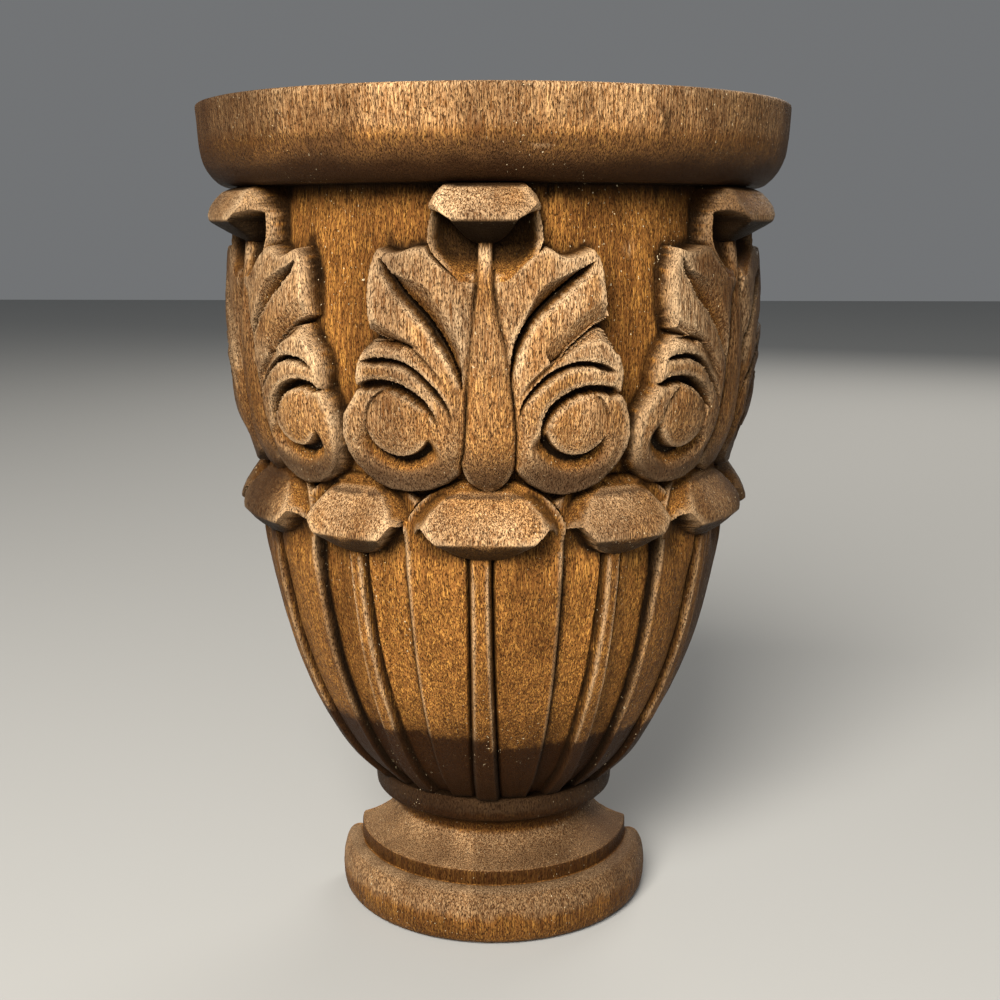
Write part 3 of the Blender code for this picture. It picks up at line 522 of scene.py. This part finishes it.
def carve(phi, level):
    # height above the ground for angles in degrees and levels in millimetres, with paint masks
    height = np.zeros(phi.shape)
    stainAndShade, paleAndHighlight, paintedShade = (np.zeros(phi.shape) for _ in range(3))
    # the front petals come after the back ones and cover their edges
    for kind in ("back", "front"):
        for k, centre in enumerate(petal[kind]["centres"]):
            a = phi - centre
            near = (np.abs(a) < 19.5) & (level > 34.5) & (level < 120.6)
            seed = petal[kind]["seed"] + 7 * k
            h, front, dark, side, edge = petalForm(a[near], level[near], kind, seed)
            old = height[near]
            over = h > old if kind == "back" else (edge > -0.45)
            height[near] = np.where(over, np.maximum(h, old * (kind == "back")), old)
            # painted shade along the edge where a front petal covers a back one
            gap = np.clip(1.3 - np.abs(edge + 0.5) / 0.9, 0.0, 1.0) * (kind == "front") \
                * smooth(110.0, 105.0, level[near])
            stainAndShade[near] = np.maximum(np.where(over, dark, stainAndShade[near]), gap)
            paleAndHighlight[near] = np.where(over, 0.7 * front, paleAndHighlight[near])
            # painted shade on the side faces of the lips
            paintedShade[near] = np.where(over, 0.6 * side, paintedShade[near])
    for k, centre in enumerate(leaf["centres"]):
        for way, side in ((-1.0, leftSide), (1.0, rightSide)):
            a = way * (phi - centre)
            near = (a > -0.6) & (a < 31.5) & (level > 116.0) & (level < 172.0)
            seed = 101 + 20 * k + (way > 0) * 9
            h, dark, shaded = halfLeaf(a[near], level[near], side, seed)
            over = h > height[near]
            height[near] = np.where(over, h, height[near])
            stainAndShade[near] = np.where(over, dark, stainAndShade[near])
            paleAndHighlight[near] = np.where(over, smooth(3.6, 5.2, h), paleAndHighlight[near])
            paintedShade[near] = np.where(over, shaded, paintedShade[near])
        a = phi - centre
        near = (np.abs(a) < 13.0) & (level > 162.0)
        h, front, dark = curlForm(a[near], level[near], 41 + k)
        over = h > height[near]
        height[near] = np.where(over, h, height[near])
        stainAndShade[near] = np.where(over, dark, stainAndShade[near])
        paleAndHighlight[near] = np.where(over, front, paleAndHighlight[near])
        near = (np.abs(a - 1.0) < 8.0) & (level > 116.5) & (level < 173.0)
        z, old = level[near], height[near]
        h, u, edge = stalkForm(a[near], z, 61 + k)
        deep = 0.35 + 0.65 * np.maximum(smooth(146.0, 136.0, z), smooth(155.0, 163.0, z))
        groove = deep * np.clip(1.0 - np.abs(edge) / 0.7, 0.0, 1.0)
        old = old - stalk["grooveDepth"] * groove * (old > 2.0) * (z > 122.0) * (z < 166.0)
        inside = (u < 1.0) & (z <= 171.3)
        height[near] = np.where(inside & (z >= 119.5), np.maximum(h, 0.0), np.maximum(old, h))
        # stain with painted shade in the grooves beside the stalk
        inGroove = 0.56 * groove * (edge > -0.7) * (z > 122.0) * (z < 163.0)
        stainAndShade[near] = np.maximum(np.where(inside, 0.0, stainAndShade[near]), inGroove)
        paleAndHighlight[near] = np.where(inside, 0.4 + 0.2 * smooth(132.0, 122.0, z), paleAndHighlight[near])
    ground = height < 0.05
    height += np.where(ground, 0.12 * ripple(phi * perDegree, level, 6.0, 9.0, 77)
                       + 0.05 * ripple(phi * perDegree, level, 1.6, 6.0, 78), 0.0)
    return height, {"stainAndShade": stainAndShade, "paleAndHighlight": paleAndHighlight, "paintedShade": paintedShade}


def outlineRows():
    # radius and level of each row of the mesh, and whether it carries the relief
    rows = []
    foot = block["foot"] + [(block["ground"][0][1], block["ground"][0][0], 0)]
    for (r0, z0, n), (r1, z1, _) in zip(foot, foot[1:]):
        rows += [(r0 + (r1 - r0) * i / n, z0 + (z1 - z0) * i / n, 0) for i in range(n)]
    low = block["ground"][0][0]
    for high, n in block["bodyRows"]:
        rows += [(0.0, low + (high - low) * i / n, 1) for i in range(n)]
        low = high
    rows.append((0.0, low, 1))
    rim = block["rim"]
    for (r0, z0, n), (r1, z1, _) in zip(rim, rim[1:]):
        rows += [(r0 + (r1 - r0) * i / n, z0 + (z1 - z0) * i / n, 2) for i in range(n)]
    rows.append((rim[-1][0], rim[-1][1], 2))
    rows = np.array(rows)
    # the turned corners are rounded a little
    for part in (0, 2):
        pick = np.where(rows[:, 2] == part)[0]
        inner = pick[1:-1]
        rows[inner, :2] = (rows[inner - 1, :2] + 2 * rows[inner, :2] + rows[inner + 1, :2]) / 4
    return rows


def carvedBlock():
    rows = outlineRows()
    columns, count = block["columns"], len(rows)
    say("blank board, %d columns and %d rows" % (columns, count))
    deselectAll()
    bpy.ops.mesh.primitive_grid_add(x_subdivisions=columns, y_subdivisions=count - 1, size=2.0)
    piece = bpy.context.object
    piece.name = piece.data.name = "corbelCarving"
    mesh = piece.data
    flat = np.empty(len(mesh.vertices) * 3)
    mesh.vertices.foreach_get("co", flat)
    flat = flat.reshape(-1, 3)
    column = np.rint((flat[:, 0] + 1.0) / 2.0 * columns).astype(int)
    row = np.rint((flat[:, 1] + 1.0) / 2.0 * (count - 1)).astype(int)
    phi = column / columns * 180.0 - 90.0
    radius, level, part = rows[row, 0].copy(), rows[row, 1].copy(), rows[row, 2]
    body = part == 1
    say("carving the leaves, curls and petals")
    relief, _ = carve(phi[body], level[body])
    radius[body] = groundRadius(level[body]) + relief
    # where a curl meets the rim, the underside of the rim starts at its face
    topRow = np.where(rows[:, 2] == 1)[0][-1]
    reach = np.zeros(columns + 1)
    reach[column[row == topRow]] = radius[row == topRow]
    rim = part == 2
    radius[rim] = np.maximum(radius[rim], reach[column[rim]] + 0.01 * (row[rim] - topRow))
    radius = unevenTurning(phi, level, radius, part)
    angle = np.radians(phi)
    place = np.stack([radius * np.sin(angle), -radius * np.cos(angle),
                      level - block["height"] / 2], 1)
    place[(column == 0) | (column == columns), 1] = 0.0
    mesh.vertices.foreach_set("co", (place / 1000.0).ravel())
    mesh.update()
    say("closing the back")
    closeBack(piece, row, count)
    thinOut(piece)
    return piece


def unevenTurning(phi, level, radius, part):
    # a hand-finished rim and foot: sanded flats and a wandering lower edge
    x = phi * perDegree
    rim = part == 2
    wander = 0.22 * ripple(x, level, 17.0, 4.0, 5) + 0.07 * ripple(x, level, 4.0, 3.0, 6)
    radius = np.where(rim & (level > 184.5), radius + np.minimum(wander, 0.05) - 0.05, radius)
    foot = part == 0
    wander = 0.10 * ripple(x, level, 12.0, 4.0, 8) + 0.03 * ripple(x, level, 3.0, 2.0, 9)
    return np.where(foot, radius + wander * smooth(0.0, 2.0, level), radius)


def closeBack(piece, row, count):
    # the top, the foot and the flat back are each one face before the mesh is made triangles
    bpy.context.view_layer.objects.active = piece
    bpy.ops.object.mode_set(mode="EDIT")
    bpy.ops.mesh.select_mode(type="VERT")
    for edgeRow in (0, count - 1):
        bpy.ops.mesh.select_all(action="DESELECT")
        bpy.ops.object.mode_set(mode="OBJECT")
        chosen = np.zeros(len(piece.data.vertices), bool)
        chosen[:len(row)] = row == edgeRow
        piece.data.vertices.foreach_set("select", chosen)
        bpy.ops.object.mode_set(mode="EDIT")
        bpy.ops.mesh.edge_face_add()
    bpy.ops.mesh.select_all(action="DESELECT")
    bpy.ops.object.mode_set(mode="OBJECT")
    bpy.ops.object.mode_set(mode="EDIT")
    bpy.ops.mesh.select_mode(type="EDGE")
    bpy.ops.mesh.select_non_manifold()
    bpy.ops.mesh.edge_face_add()
    bpy.ops.mesh.select_all(action="SELECT")
    bpy.ops.mesh.remove_doubles(threshold=0.000002)
    bpy.ops.mesh.quads_convert_to_tris(quad_method="SHORTEST_DIAGONAL", ngon_method="BEAUTY")
    bpy.ops.mesh.normals_make_consistent(inside=False)
    bpy.ops.object.mode_set(mode="OBJECT")


def thinOut(piece):
    faces = len(piece.data.polygons)
    say("%d triangles, thinned to about %d" % (faces, block["triangles"]))
    modifier = piece.modifiers.new("thin", "DECIMATE")
    modifier.ratio = min(1.0, block["triangles"] / faces)
    bpy.ops.object.modifier_apply(modifier=modifier.name)


# Where dirt, painted shade and wear lie: recesses are found by comparing the form with itself
# softened.
# A fade is its strength, the value at which it starts and the value at which it is full.
patina = {
    "cell": 0.5,           # of the even grid, millimetres up
    "turn": 0.5,           # of the even grid, degrees round
    "gridFoot": 30.0,
    "bodyFoot": 35.0,      # levels between which the body is carved
    "bodyTop": 183.7,
    "rimRadius": 72.0,
    "recess": 1.5,         # depth in millimetres at which a recess is full of dirt and painted shade
    "worn": 1.0,
    "nearShare": 1.5,      # how much the narrow and the wide softening count
    "wideShare": 0.20,
    "rimFoot": 183.9,
    "rimUnderTop": 184.6,
    "rimUnderReach": 64.5,
    "leafFoot": 116.5,
    "lipLevels": (100.0, 121.0),
    "greyLip": (19.0, 44.0),      # degrees round
    "panelsFoot": 34.9,
    "cupFoot": 34.6,
    "ringFoot": 26.5,
    "ringStain": 0.4,
    "footTop": 27.0,
    "coveEnd": 23.5,
    "footShelf": (14.02, 35.9),   # level below which and radius beyond which it is pale
    "footRollTop": 13.0,
    "footSeam": -3.5,      # the foot is paler left of this, in millimetres across
    "stepLeft": 56.5,      # level of the edge of the dark zone at the bottom of the panels
    "stepRight": 53.5,
    "fades": {
        # by level
        "underRim": (1.0, 182.0, 183.5), "cupFoot": (0.9, 36.4, 35.3),
        "rimRoll": (0.5, 194.5, 191.5), "rimUnder": (0.45, 191.0, 186.5),
        "panelsLow": (0.45, 68.0, 56.0), "coveTop": (0.85, 22.5, 24.5),
        "footRoll": (0.55, 10.5, 4.5), "footEdge": (0.85, 2.2, 0.4),
        "footShelf": (1.0, 12.2, 13.2), "footCrown": (0.6, 6.5, 9.5), "coveLow": (0.65, 17.3, 17.7),
        "scrollLow": (1.0, 129.0, 120.5), "leafLow": (0.45, 149.0, 141.0),
        "rimFace": (0.45, 192.0, 196.0), "rimArris": (0.3, 201.0, 202.5),
        # by millimetres across
        "rimLeft": (0.78, -34.0, -50.0), "rimRight": (0.44, 38.0, 54.0),
        # by degrees round
        "bodyRight": (0.50, 24.0, 58.0), "bodyLeft": (0.40, -34.0, -62.0),
        "farSides": (0.80, 54.0, 76.0), "farLips": (0.80, -46.0, -56.0),
        "leftLips": (0.12, -18.0, -22.0),
        # by the share of dirt and painted shade, by the millimetres worn and by height above the
        # ground
        "packedDirtAndShade": (1.0, 0.62, 1.35), "wornEdge": (1.0, 0.35, 1.0), "raised": (1.0, 3.5, 5.0),
    },
    # share of each zone in the mask of grime and painted shade and in that of drab wax
    "ringGrime": 0.96, "seamGrime": 0.50, "scrollGrime": 0.66, "paintedShadeShare": 0.52,
    "footGrime": (0.16, 0.12),
    "footDrab": 0.55, "lipDrab": 0.5,
    # single marks: across, level, half-width, half-height, mask, strength
    "marks": [(-52.5, 196.5, 2.8, 4.5, "grimeAndShade", 0.60), (37.5, 194.5, 0.8, 9.0, "grimeAndShade", 0.80),
              (12.5, 190.6, 2.6, 0.5, "paleAndHighlight", 0.80), (42.5, 202.0, 0.9, 0.6, "paleAndHighlight", 1.00),
              (31.0, 170.4, 1.3, 0.8, "paleAndHighlight", 0.90), (-33.2, 133.2, 1.6, 1.9, "paleAndHighlight", 1.00),
              (-3.8, 57.4, 0.3, 0.5, "paleAndHighlight", 1.00), (-8.5, 199.0, 5.0, 2.5, "paleAndHighlight", 0.40),
              (20.0, 198.0, 6.0, 3.5, "grimeAndShade", 0.25), (-30.0, 199.0, 4.0, 3.0, "paleAndHighlight", 0.45)],
}


def fade(name, value):
    strength, first, full = patina["fades"][name]
    return strength * smooth(first, full, value)


def softened(grid, cells, times=3):
    for _ in range(times):
        for axis in (0, 1):
            pad = [(0, 0), (0, 0)]
            pad[axis] = (cells + 1, cells)
            total = np.cumsum(np.pad(grid, pad, mode="edge"), axis=axis)
            ahead = np.take(total, range(2 * cells + 1, total.shape[axis]), axis=axis)
            behind = np.take(total, range(0, total.shape[axis] - 2 * cells - 1), axis=axis)
            grid = (ahead - behind) / (2 * cells + 1)
    return grid


def sampled(grid, phi, level):
    u = np.clip((phi + 90.0) / patina["turn"], 0.0, grid.shape[1] - 1.001)
    v = np.clip((level - patina["gridFoot"]) / patina["cell"], 0.0, grid.shape[0] - 1.001)
    i, j = u.astype(int), v.astype(int)
    fu, fv = u - i, v - j
    return ((grid[j, i] * (1 - fu) + grid[j, i + 1] * fu) * (1 - fv)
            + (grid[j + 1, i] * (1 - fu) + grid[j + 1, i + 1] * fu) * fv)


def dirtShadeAndWear(phi, level, radius, front, patchy):
    # the whole form on an even grid, and its softened copies
    bodyFoot, bodyTop = patina["bodyFoot"], patina["bodyTop"]
    gridPhi, gridLevel = np.meshgrid(
        np.arange(-90.0, 90.01, patina["turn"]),
        np.arange(patina["gridFoot"], block["height"] + 0.01, patina["cell"]))
    form = np.where(gridLevel > bodyTop, patina["rimRadius"], groundRadius(gridLevel))
    inBody = (gridLevel > bodyFoot) & (gridLevel < bodyTop)
    form[inBody] += carve(gridPhi[inBody], gridLevel[inBody])[0]
    near, wide = softened(form, 1), softened(form, 4)
    here = np.where(front, radius, 0.0)
    recess = np.where(front, sampled(near, phi, level) - here, 0.0) * patina["nearShare"] \
        + np.where(front, sampled(wide, phi, level) - here, 0.0) * patina["wideShare"]
    recess = np.where(level > patina["rimFoot"], 0.0, recess)
    # dirt with painted shade in the recesses
    dirtAndShade = np.clip(recess / patina["recess"] * (1.0 + 0.25 * patchy), 0.0, 1.0)
    return dirtAndShade, fade("wornEdge", -recess / patina["worn"])


def paintMasks(piece):
    # dirt and painted shade in the cuts, sanded raised faces with painted highlights on the rim, and
    # old stain with painted shade on shaded slopes and towards the sides, kept on the mesh for the
    # wood
    mesh = piece.data
    place = np.empty(len(mesh.vertices) * 3)
    mesh.vertices.foreach_get("co", place)
    place = place.reshape(-1, 3)
    place[:, 1] = np.minimum(place[:, 1], 0.0)
    mesh.vertices.foreach_set("co", place.ravel())
    x, y = place[:, 0] * 1000, place[:, 1] * 1000
    level = place[:, 2] * 1000 + block["height"] / 2
    radius = np.hypot(x, y)
    phi = np.degrees(np.arctan2(x, -y))
    body = (level > patina["bodyFoot"]) & (level < patina["bodyTop"] + 0.1) \
        & (radius > 28.0) & (radius < patina["rimRadius"]) & (y < -0.01)
    found = {name: np.zeros(len(phi)) for name in ("stainAndShade", "paleAndHighlight", "paintedShade")}
    _, some = carve(phi[body], level[body])
    for name in found:
        found[name][body] = some[name]
    sheetX = phi * perDegree
    patchy = ripple(sheetX, level, 5.0, 7.0, 301) + 0.5 * ripple(sheetX, level, 1.7, 2.6, 302)
    front = (y < -0.05) & (level > patina["gridFoot"] + 1.0)
    rimPart = level > patina["rimFoot"]
    panels = level > patina["panelsFoot"]
    ring = (level <= patina["bodyFoot"]) & (level > patina["ringFoot"])
    foot = level < patina["footTop"]
    footRoll = level < patina["footRollTop"]
    lipFoot, lipTop = patina["lipLevels"]
    lips = (level > lipFoot) & (level < lipTop)
    dirtAndShade, worn = dirtShadeAndWear(phi, level, radius, front, patchy)
    # black under the rim as a painted shadow, in the cuts as stain with painted shade, and at the
    # foot of the cup as painted shade
    under = fade("underRim", level + 0.4 * patchy) * front \
        * (level < patina["rimUnderTop"]) * (radius < patina["rimUnderReach"])
    stainAndShade = np.maximum.reduce([found["stainAndShade"], under,
                               fade("cupFoot", level) * (level > patina["cupFoot"]),
                               patina["ringStain"] * ring,
                               fade("packedDirtAndShade", dirtAndShade * (1.0 + 0.3 * patchy))])
    # older, darker stain low on the panels, on the ring and right of the seam; low on the rim, where
    # it turns under, stain with painted shade
    waver = level + 0.8 * patchy
    rimLow = rimPart * (fade("rimRoll", waver) + fade("rimUnder", waver))
    across = x + 1.2 * ripple(level, sheetX, 4.0, 9.0, 303)
    step = np.where(across < 0.0, patina["stepLeft"], patina["stepRight"])
    low = smooth(step + 1.2, step - 0.6, level + 0.5 * patchy) * panels
    middle = fade("panelsLow", level + 2.0 * patchy) * panels
    seam = smooth(patina["footSeam"] - 1.0, patina["footSeam"] + 1.0, across) * foot
    # painted shade: the rim and the body darken towards the sides, where the light falls off
    ragged = x + 3.0 * patchy
    paintedRimSideShade = rimPart * np.maximum(fade("rimLeft", ragged), fade("rimRight", ragged))
    paintedSideShade = front * np.maximum.reduce([
        fade("bodyRight", phi), fade("bodyLeft", phi), fade("farSides", np.abs(phi + 2.0)),
        fade("farLips", phi) * lips, fade("leftLips", phi) * lips])
    footTone = foot * np.maximum.reduce([
        fade("coveTop", level), fade("footRoll", level + patchy) * footRoll,
        fade("footEdge", level)])
    shelfTop, shelfReach = patina["footShelf"]
    footPale = foot * np.maximum.reduce([
        fade("footShelf", level) * (level < shelfTop) * (radius > shelfReach),
        fade("footCrown", level + patchy) * footRoll,
        fade("coveLow", level) * (level < patina["coveEnd"])])
    scrollLow = fade("scrollLow", level) * (level > patina["leafFoot"]) \
        * fade("raised", radius - groundRadius(level))
    even, uneven = patina["footGrime"]
    # grime and painted shade together: the shaded slopes and the darker sides are painted shade
    grimeAndShade = np.maximum.reduce([
        rimLow, low, footTone, middle, patina["ringGrime"] * ring, patina["seamGrime"] * seam,
        paintedRimSideShade, patina["scrollGrime"] * scrollLow, patina["paintedShadeShare"] * found["paintedShade"], paintedSideShade,
        (even + uneven * patchy) * foot])
    first, last = patina["greyLip"]
    greyLip = (phi > first) & (phi < last) & (level < lipTop)
    drab = np.maximum.reduce([rimLow, scrollLow, patina["footDrab"] * footPale,
                              patina["lipDrab"] * greyLip * found["paleAndHighlight"]])
    paleAndHighlight = found["paleAndHighlight"] * np.clip(0.75 + 0.55 * ripple(sheetX, level, 6.0, 9.0, 305), 0.0, 1.0)
    paleAndHighlight *= 1.0 - fade("leafLow", level) * (level > lipTop)
    # the rim's upper face and its top edge are painted highlights
    paleAndHighlight = np.maximum.reduce([paleAndHighlight, footPale, fade("rimFace", level) + fade("rimArris", level)])
    masks = {"stainAndShade": stainAndShade, "paleAndHighlight": paleAndHighlight, "dirtAndShade": dirtAndShade, "worn": worn,
             "grimeAndShade": np.clip(grimeAndShade, 0.0, 1.0), "drab": np.clip(drab, 0.0, 1.0)}
    for spotX, spotLevel, halfX, halfLevel, name, strength in patina["marks"]:
        off = np.hypot((x - spotX) / halfX, (level - spotLevel) / halfLevel)
        spot = strength * smooth(1.25, 0.55, off * (1.0 + 0.25 * patchy)) * front
        masks[name] = np.maximum(masks[name], spot)
        if name == "paleAndHighlight":
            masks["grimeAndShade"] = masks["grimeAndShade"] * (1.0 - spot)
    # the flat back is plain wood
    for name, values in masks.items():
        attribute = mesh.attributes.new(name, "FLOAT", "POINT")
        attribute.data.foreach_set("value", (values * (y < -0.01)).astype(np.float32))
    mesh.update()


carving = carvedBlock()
paintMasks(carving)
deselectAll()
carving.select_set(True)
bpy.context.view_layer.objects.active = carving
bpy.ops.object.shade_smooth_by_angle(angle=math.radians(block["crease"]))
say("carving has %d triangles" % len(carving.data.polygons))


def addNode(tree, kind, inputs=None, **settings):
    # a node with its settings, its values and the sockets that feed it
    node = tree.nodes.new(kind)
    for name, value in settings.items():
        setattr(node, name, value)
    for name, value in (inputs or {}).items():
        if isinstance(value, bpy.types.NodeSocket):
            tree.links.new(value, node.inputs[name])
        else:
            node.inputs[name].default_value = value
    return node


wood = {
    "colours": {
        # the grime, dirt and stain tones also paint shade in recesses, under overhangs and towards
        # the sides
        "ground": "86582A", "groundDark": "3A1E08", "groundLight": "CC9448",
        "sandedLight": "DCBD94", "sandedDark": "704E2E", "drab": "66503A", "grimeAndShade": "1E0B03",
        "dirtAndShade": "241204", "stainAndShade": "0A0402", "pore": "241206", "dust": "C9B896", "wax": "F0C896",
    },
    # millimetres across and up of a cell, detail and roughness
    "patterns": {
        "fibres": (1.3, 30.0, 3.0, 0.7),     # darker streaks, about a millimetre wide
        "fine": (0.30, 5.5, 2.0, 0.6),       # bundles of fibres; one alone is too fine to show
        "zones": (17.0, 60.0, 3.0, 0.6),     # broad bands of growth and of stain
        "mottle": (0.6, 1.3, 4.0, 0.7),      # chisel burr and sanding, half a millimetre
        "pores": (0.19, 0.8, 1.0, 0.4),      # open pores, 0.2 mm wide
        "specks": (0.55, 0.7, 1.0, 0.5),     # dust, drawn coarser than it is so that it shows
        "dusty": (24.0, 30.0, 1.0, 0.5),     # where the specks gather
    },
    # pattern, its low and its high value, and the share of the coat at each
    "shares": {
        "longFibres": ("fibres", 0.30, 0.60, 0.25, 1.0),
        "lightFibres": ("fine", 0.48, 0.72, 0.0, 1.0),
        "sandedFibres": ("fine", 0.36, 0.60, 0.0, 1.0),
        "sandedBurr": ("mottle", 0.34, 0.48, 0.55, 0.0),
        "darkZones": ("zones", 0.34, 0.58, 0.6, 0.0),
        "darkBurr": ("mottle", 0.30, 0.48, 0.6, 0.0),
        "openPores": ("pores", 0.54, 0.64, 0.0, 0.78),
        "poreDepth": ("pores", 0.56, 0.68, 0.0, 0.5),
        "speck": ("specks", 0.735, 0.76, 0.0, 1.0),
        "speckZone": ("dusty", 0.46, 0.60, 0.0, 1.0),
        "wornGloss": ("mottle", 0.0, 1.0, 0.42, 0.74),
    },
    # masks painted on the carving, and how strong each is; the dark ones carry painted shade as well
    # as dirt and stain, the pale one also painted highlights
    "masks": {"paleAndHighlight": 0.8, "worn": 0.45, "drab": 0.7, "grimeAndShade": 0.96, "dirtAndShade": 0.85, "stainAndShade": 1.0},
    # the upright face of the foot's fillet kept its dark stain: limits in metres, and strength
    "filletLimits": [("Z", "GREATER_THAN", -0.08745), ("Z", "LESS_THAN", -0.08405),
                     ("Y", "LESS_THAN", -0.0005)],
    "filletStain": 0.72,
    # each finish starts from a tone and takes its coats in order: share and tone
    "finishes": [
        ("bare", "groundDark", [("longFibres", "ground"), ("lightFibres", "groundLight")]),
        ("sanded", "sandedDark", [("sandedFibres", "sandedLight"), ("sandedBurr", "groundDark")]),
        ("whole", "bare", [("paleAndHighlight", "sanded"), ("worn", "sandedLight"), ("darkZones", "groundDark"),
                           ("darkBurr", "groundDark"), ("drab", "drab"), ("openPores", "pore"),
                           ("grimeAndShade", "grimeAndShade"), ("fillet", "grimeAndShade"), ("dirtAndShade", "dirtAndShade"),
                           ("stainAndShade", "stainAndShade"), ("speckle", "dust")]),
    ],
    "bumpDepths": [("fine", 0.55), ("mottle", 0.7)],
    "bumpHeight": 0.0006,      # metres
    "bumpStrength": 0.9,
    "specular": 0.18,
}


def carvedWaxedMahogany():
    # Mahogany type hardwood, carved by hand, stained and waxed. It gives the eye long upright fibres
    # with open pores, near black cuts that are stain with painted shade, and paler, drier faces
    # where it was sanded; painted shade and painted highlights come in through the masks.
    material = bpy.data.materials.new("carvedWaxedMahogany")
    material.use_nodes = True
    tree = material.node_tree
    shader = tree.nodes["Principled BSDF"]
    place = addNode(tree, "ShaderNodeTexCoord").outputs["Object"]
    patterns, shares = {}, {}
    for name, (across, up, detail, rough) in wood["patterns"].items():
        spread = addNode(tree, "ShaderNodeMapping",
                         {"Vector": place, "Scale": (1000 / across, 1000 / across, 1000 / up)})
        noise = addNode(tree, "ShaderNodeTexNoise",
                        {"Vector": spread.outputs["Vector"], "Scale": 1.0, "Detail": detail,
                         "Roughness": rough})
        patterns[name] = noise.outputs["Fac"]
    for name, (pattern, low, high, atLow, atHigh) in wood["shares"].items():
        band = addNode(tree, "ShaderNodeMapRange",
                       {"Value": patterns[pattern], "From Min": low, "From Max": high,
                        "To Min": atLow, "To Max": atHigh})
        shares[name] = band.outputs["Result"]
    for name, strength in wood["masks"].items():
        mask = addNode(tree, "ShaderNodeAttribute", attribute_name=name)
        share = addNode(tree, "ShaderNodeMath", {0: mask.outputs["Fac"], 1: strength},
                        operation="MULTIPLY")
        shares[name] = share.outputs[0]
    both = addNode(tree, "ShaderNodeMath", {0: shares["speck"], 1: shares["speckZone"]},
                   operation="MULTIPLY")
    shares["speckle"] = both.outputs[0]
    axes = addNode(tree, "ShaderNodeSeparateXYZ", {"Vector": place}).outputs
    shares["fillet"] = wood["filletStain"]
    for axis, side, limit in wood["filletLimits"]:
        here = addNode(tree, "ShaderNodeMath", {0: axes[axis], 1: limit}, operation=side)
        both = addNode(tree, "ShaderNodeMath", {0: shares["fillet"], 1: here.outputs[0]},
                       operation="MULTIPLY")
        shares["fillet"] = both.outputs[0]
    tones = {name: linearColour(hexText) for name, hexText in wood["colours"].items()}
    for finish, first, coats in wood["finishes"]:
        tones[finish] = tones[first]
        for share, tone in coats:
            coat = addNode(tree, "ShaderNodeMix",
                           {0: shares[share], 6: tones[finish], 7: tones[tone]},
                           data_type="RGBA")
            tones[finish] = coat.outputs[2]
    height = 0.0
    for name, depth in wood["bumpDepths"]:
        part = addNode(tree, "ShaderNodeMath", {0: patterns[name], 1: depth, 2: height},
                       operation="MULTIPLY_ADD")
        height = part.outputs[0]
    sunk = addNode(tree, "ShaderNodeMath", {0: height, 1: shares["poreDepth"]},
                   operation="SUBTRACT")
    bump = addNode(tree, "ShaderNodeBump",
                   {"Height": sunk.outputs[0], "Strength": wood["bumpStrength"],
                    "Distance": wood["bumpHeight"]})
    tree.links.new(tones["whole"], shader.inputs["Base Color"])
    tree.links.new(shares["wornGloss"], shader.inputs["Roughness"])
    tree.links.new(bump.outputs["Normal"], shader.inputs["Normal"])
    shader.inputs["Specular IOR Level"].default_value = wood["specular"]
    shader.inputs["Specular Tint"].default_value = tones["wax"]
    return material


carving.data.materials.clear()
carving.data.materials.append(carvedWaxedMahogany())
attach(carving, "root")
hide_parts("corbel")
say("wood")

# Studio: a pale floor just under the foot, a soft lamp above the camera, a weak fill and a lamp
# behind for the flat back
studio = {
    "floorSize": 6.0,
    "floorLevel": -0.1016,
    "floorColour": "9EA0A0",
    "world": "DADDE0",
    "worldStrength": 0.24,
    # name, place, the place it points at, size, watts and colour
    "lamps": [("keyLamp", (-0.28, -1.00, 0.68), (0.0, 0.0, 0.02), 0.56, 41.0, "FFF6EA"),
              ("fillLamp", (0.35, -1.1, 0.20), (0.0, 0.0, 0.0), 0.8, 2.5, "F2F6FF"),
              ("backLamp", (0.45, 1.10, 0.75), (0.0, 0.0, 0.0), 0.8, 9.0, "FFF6EA")],
}


def addStudio():
    deselectAll()
    bpy.ops.mesh.primitive_plane_add(size=studio["floorSize"],
                                     location=(0.0, 0.0, studio["floorLevel"]))
    floor = bpy.context.object
    floor.name = floor.data.name = "studioFloor"
    floor.data.transform(floor.matrix_world)
    floor.matrix_world = Matrix.Identity(4)
    paint = bpy.data.materials.new("paleFloorPaint")
    paint.use_nodes = True
    shader = paint.node_tree.nodes["Principled BSDF"]
    shader.inputs["Base Color"].default_value = linearColour(studio["floorColour"])
    shader.inputs["Roughness"].default_value = 0.9
    floor.data.materials.append(paint)
    bpy.context.scene.view_settings.view_transform = "Standard"
    world = bpy.data.worlds.new("studioAir")
    bpy.context.scene.world = world
    world.use_nodes = True
    air = world.node_tree.nodes["Background"].inputs
    air["Color"].default_value = linearColour(studio["world"])
    air["Strength"].default_value = studio["worldStrength"]
    for name, place, target, size, power, colour in studio["lamps"]:
        lamp = bpy.data.lights.new(name, "AREA")
        lamp.size = size
        lamp.energy = power
        lamp.color = linearColour(colour)[:3]
        thing = bpy.data.objects.new(name, lamp)
        bpy.context.scene.collection.objects.link(thing)
        thing.location = place
        aim = Vector(target) - Vector(place)
        thing.rotation_euler = aim.to_track_quat("-Z", "Y").to_euler()


addStudio()
say("studio")
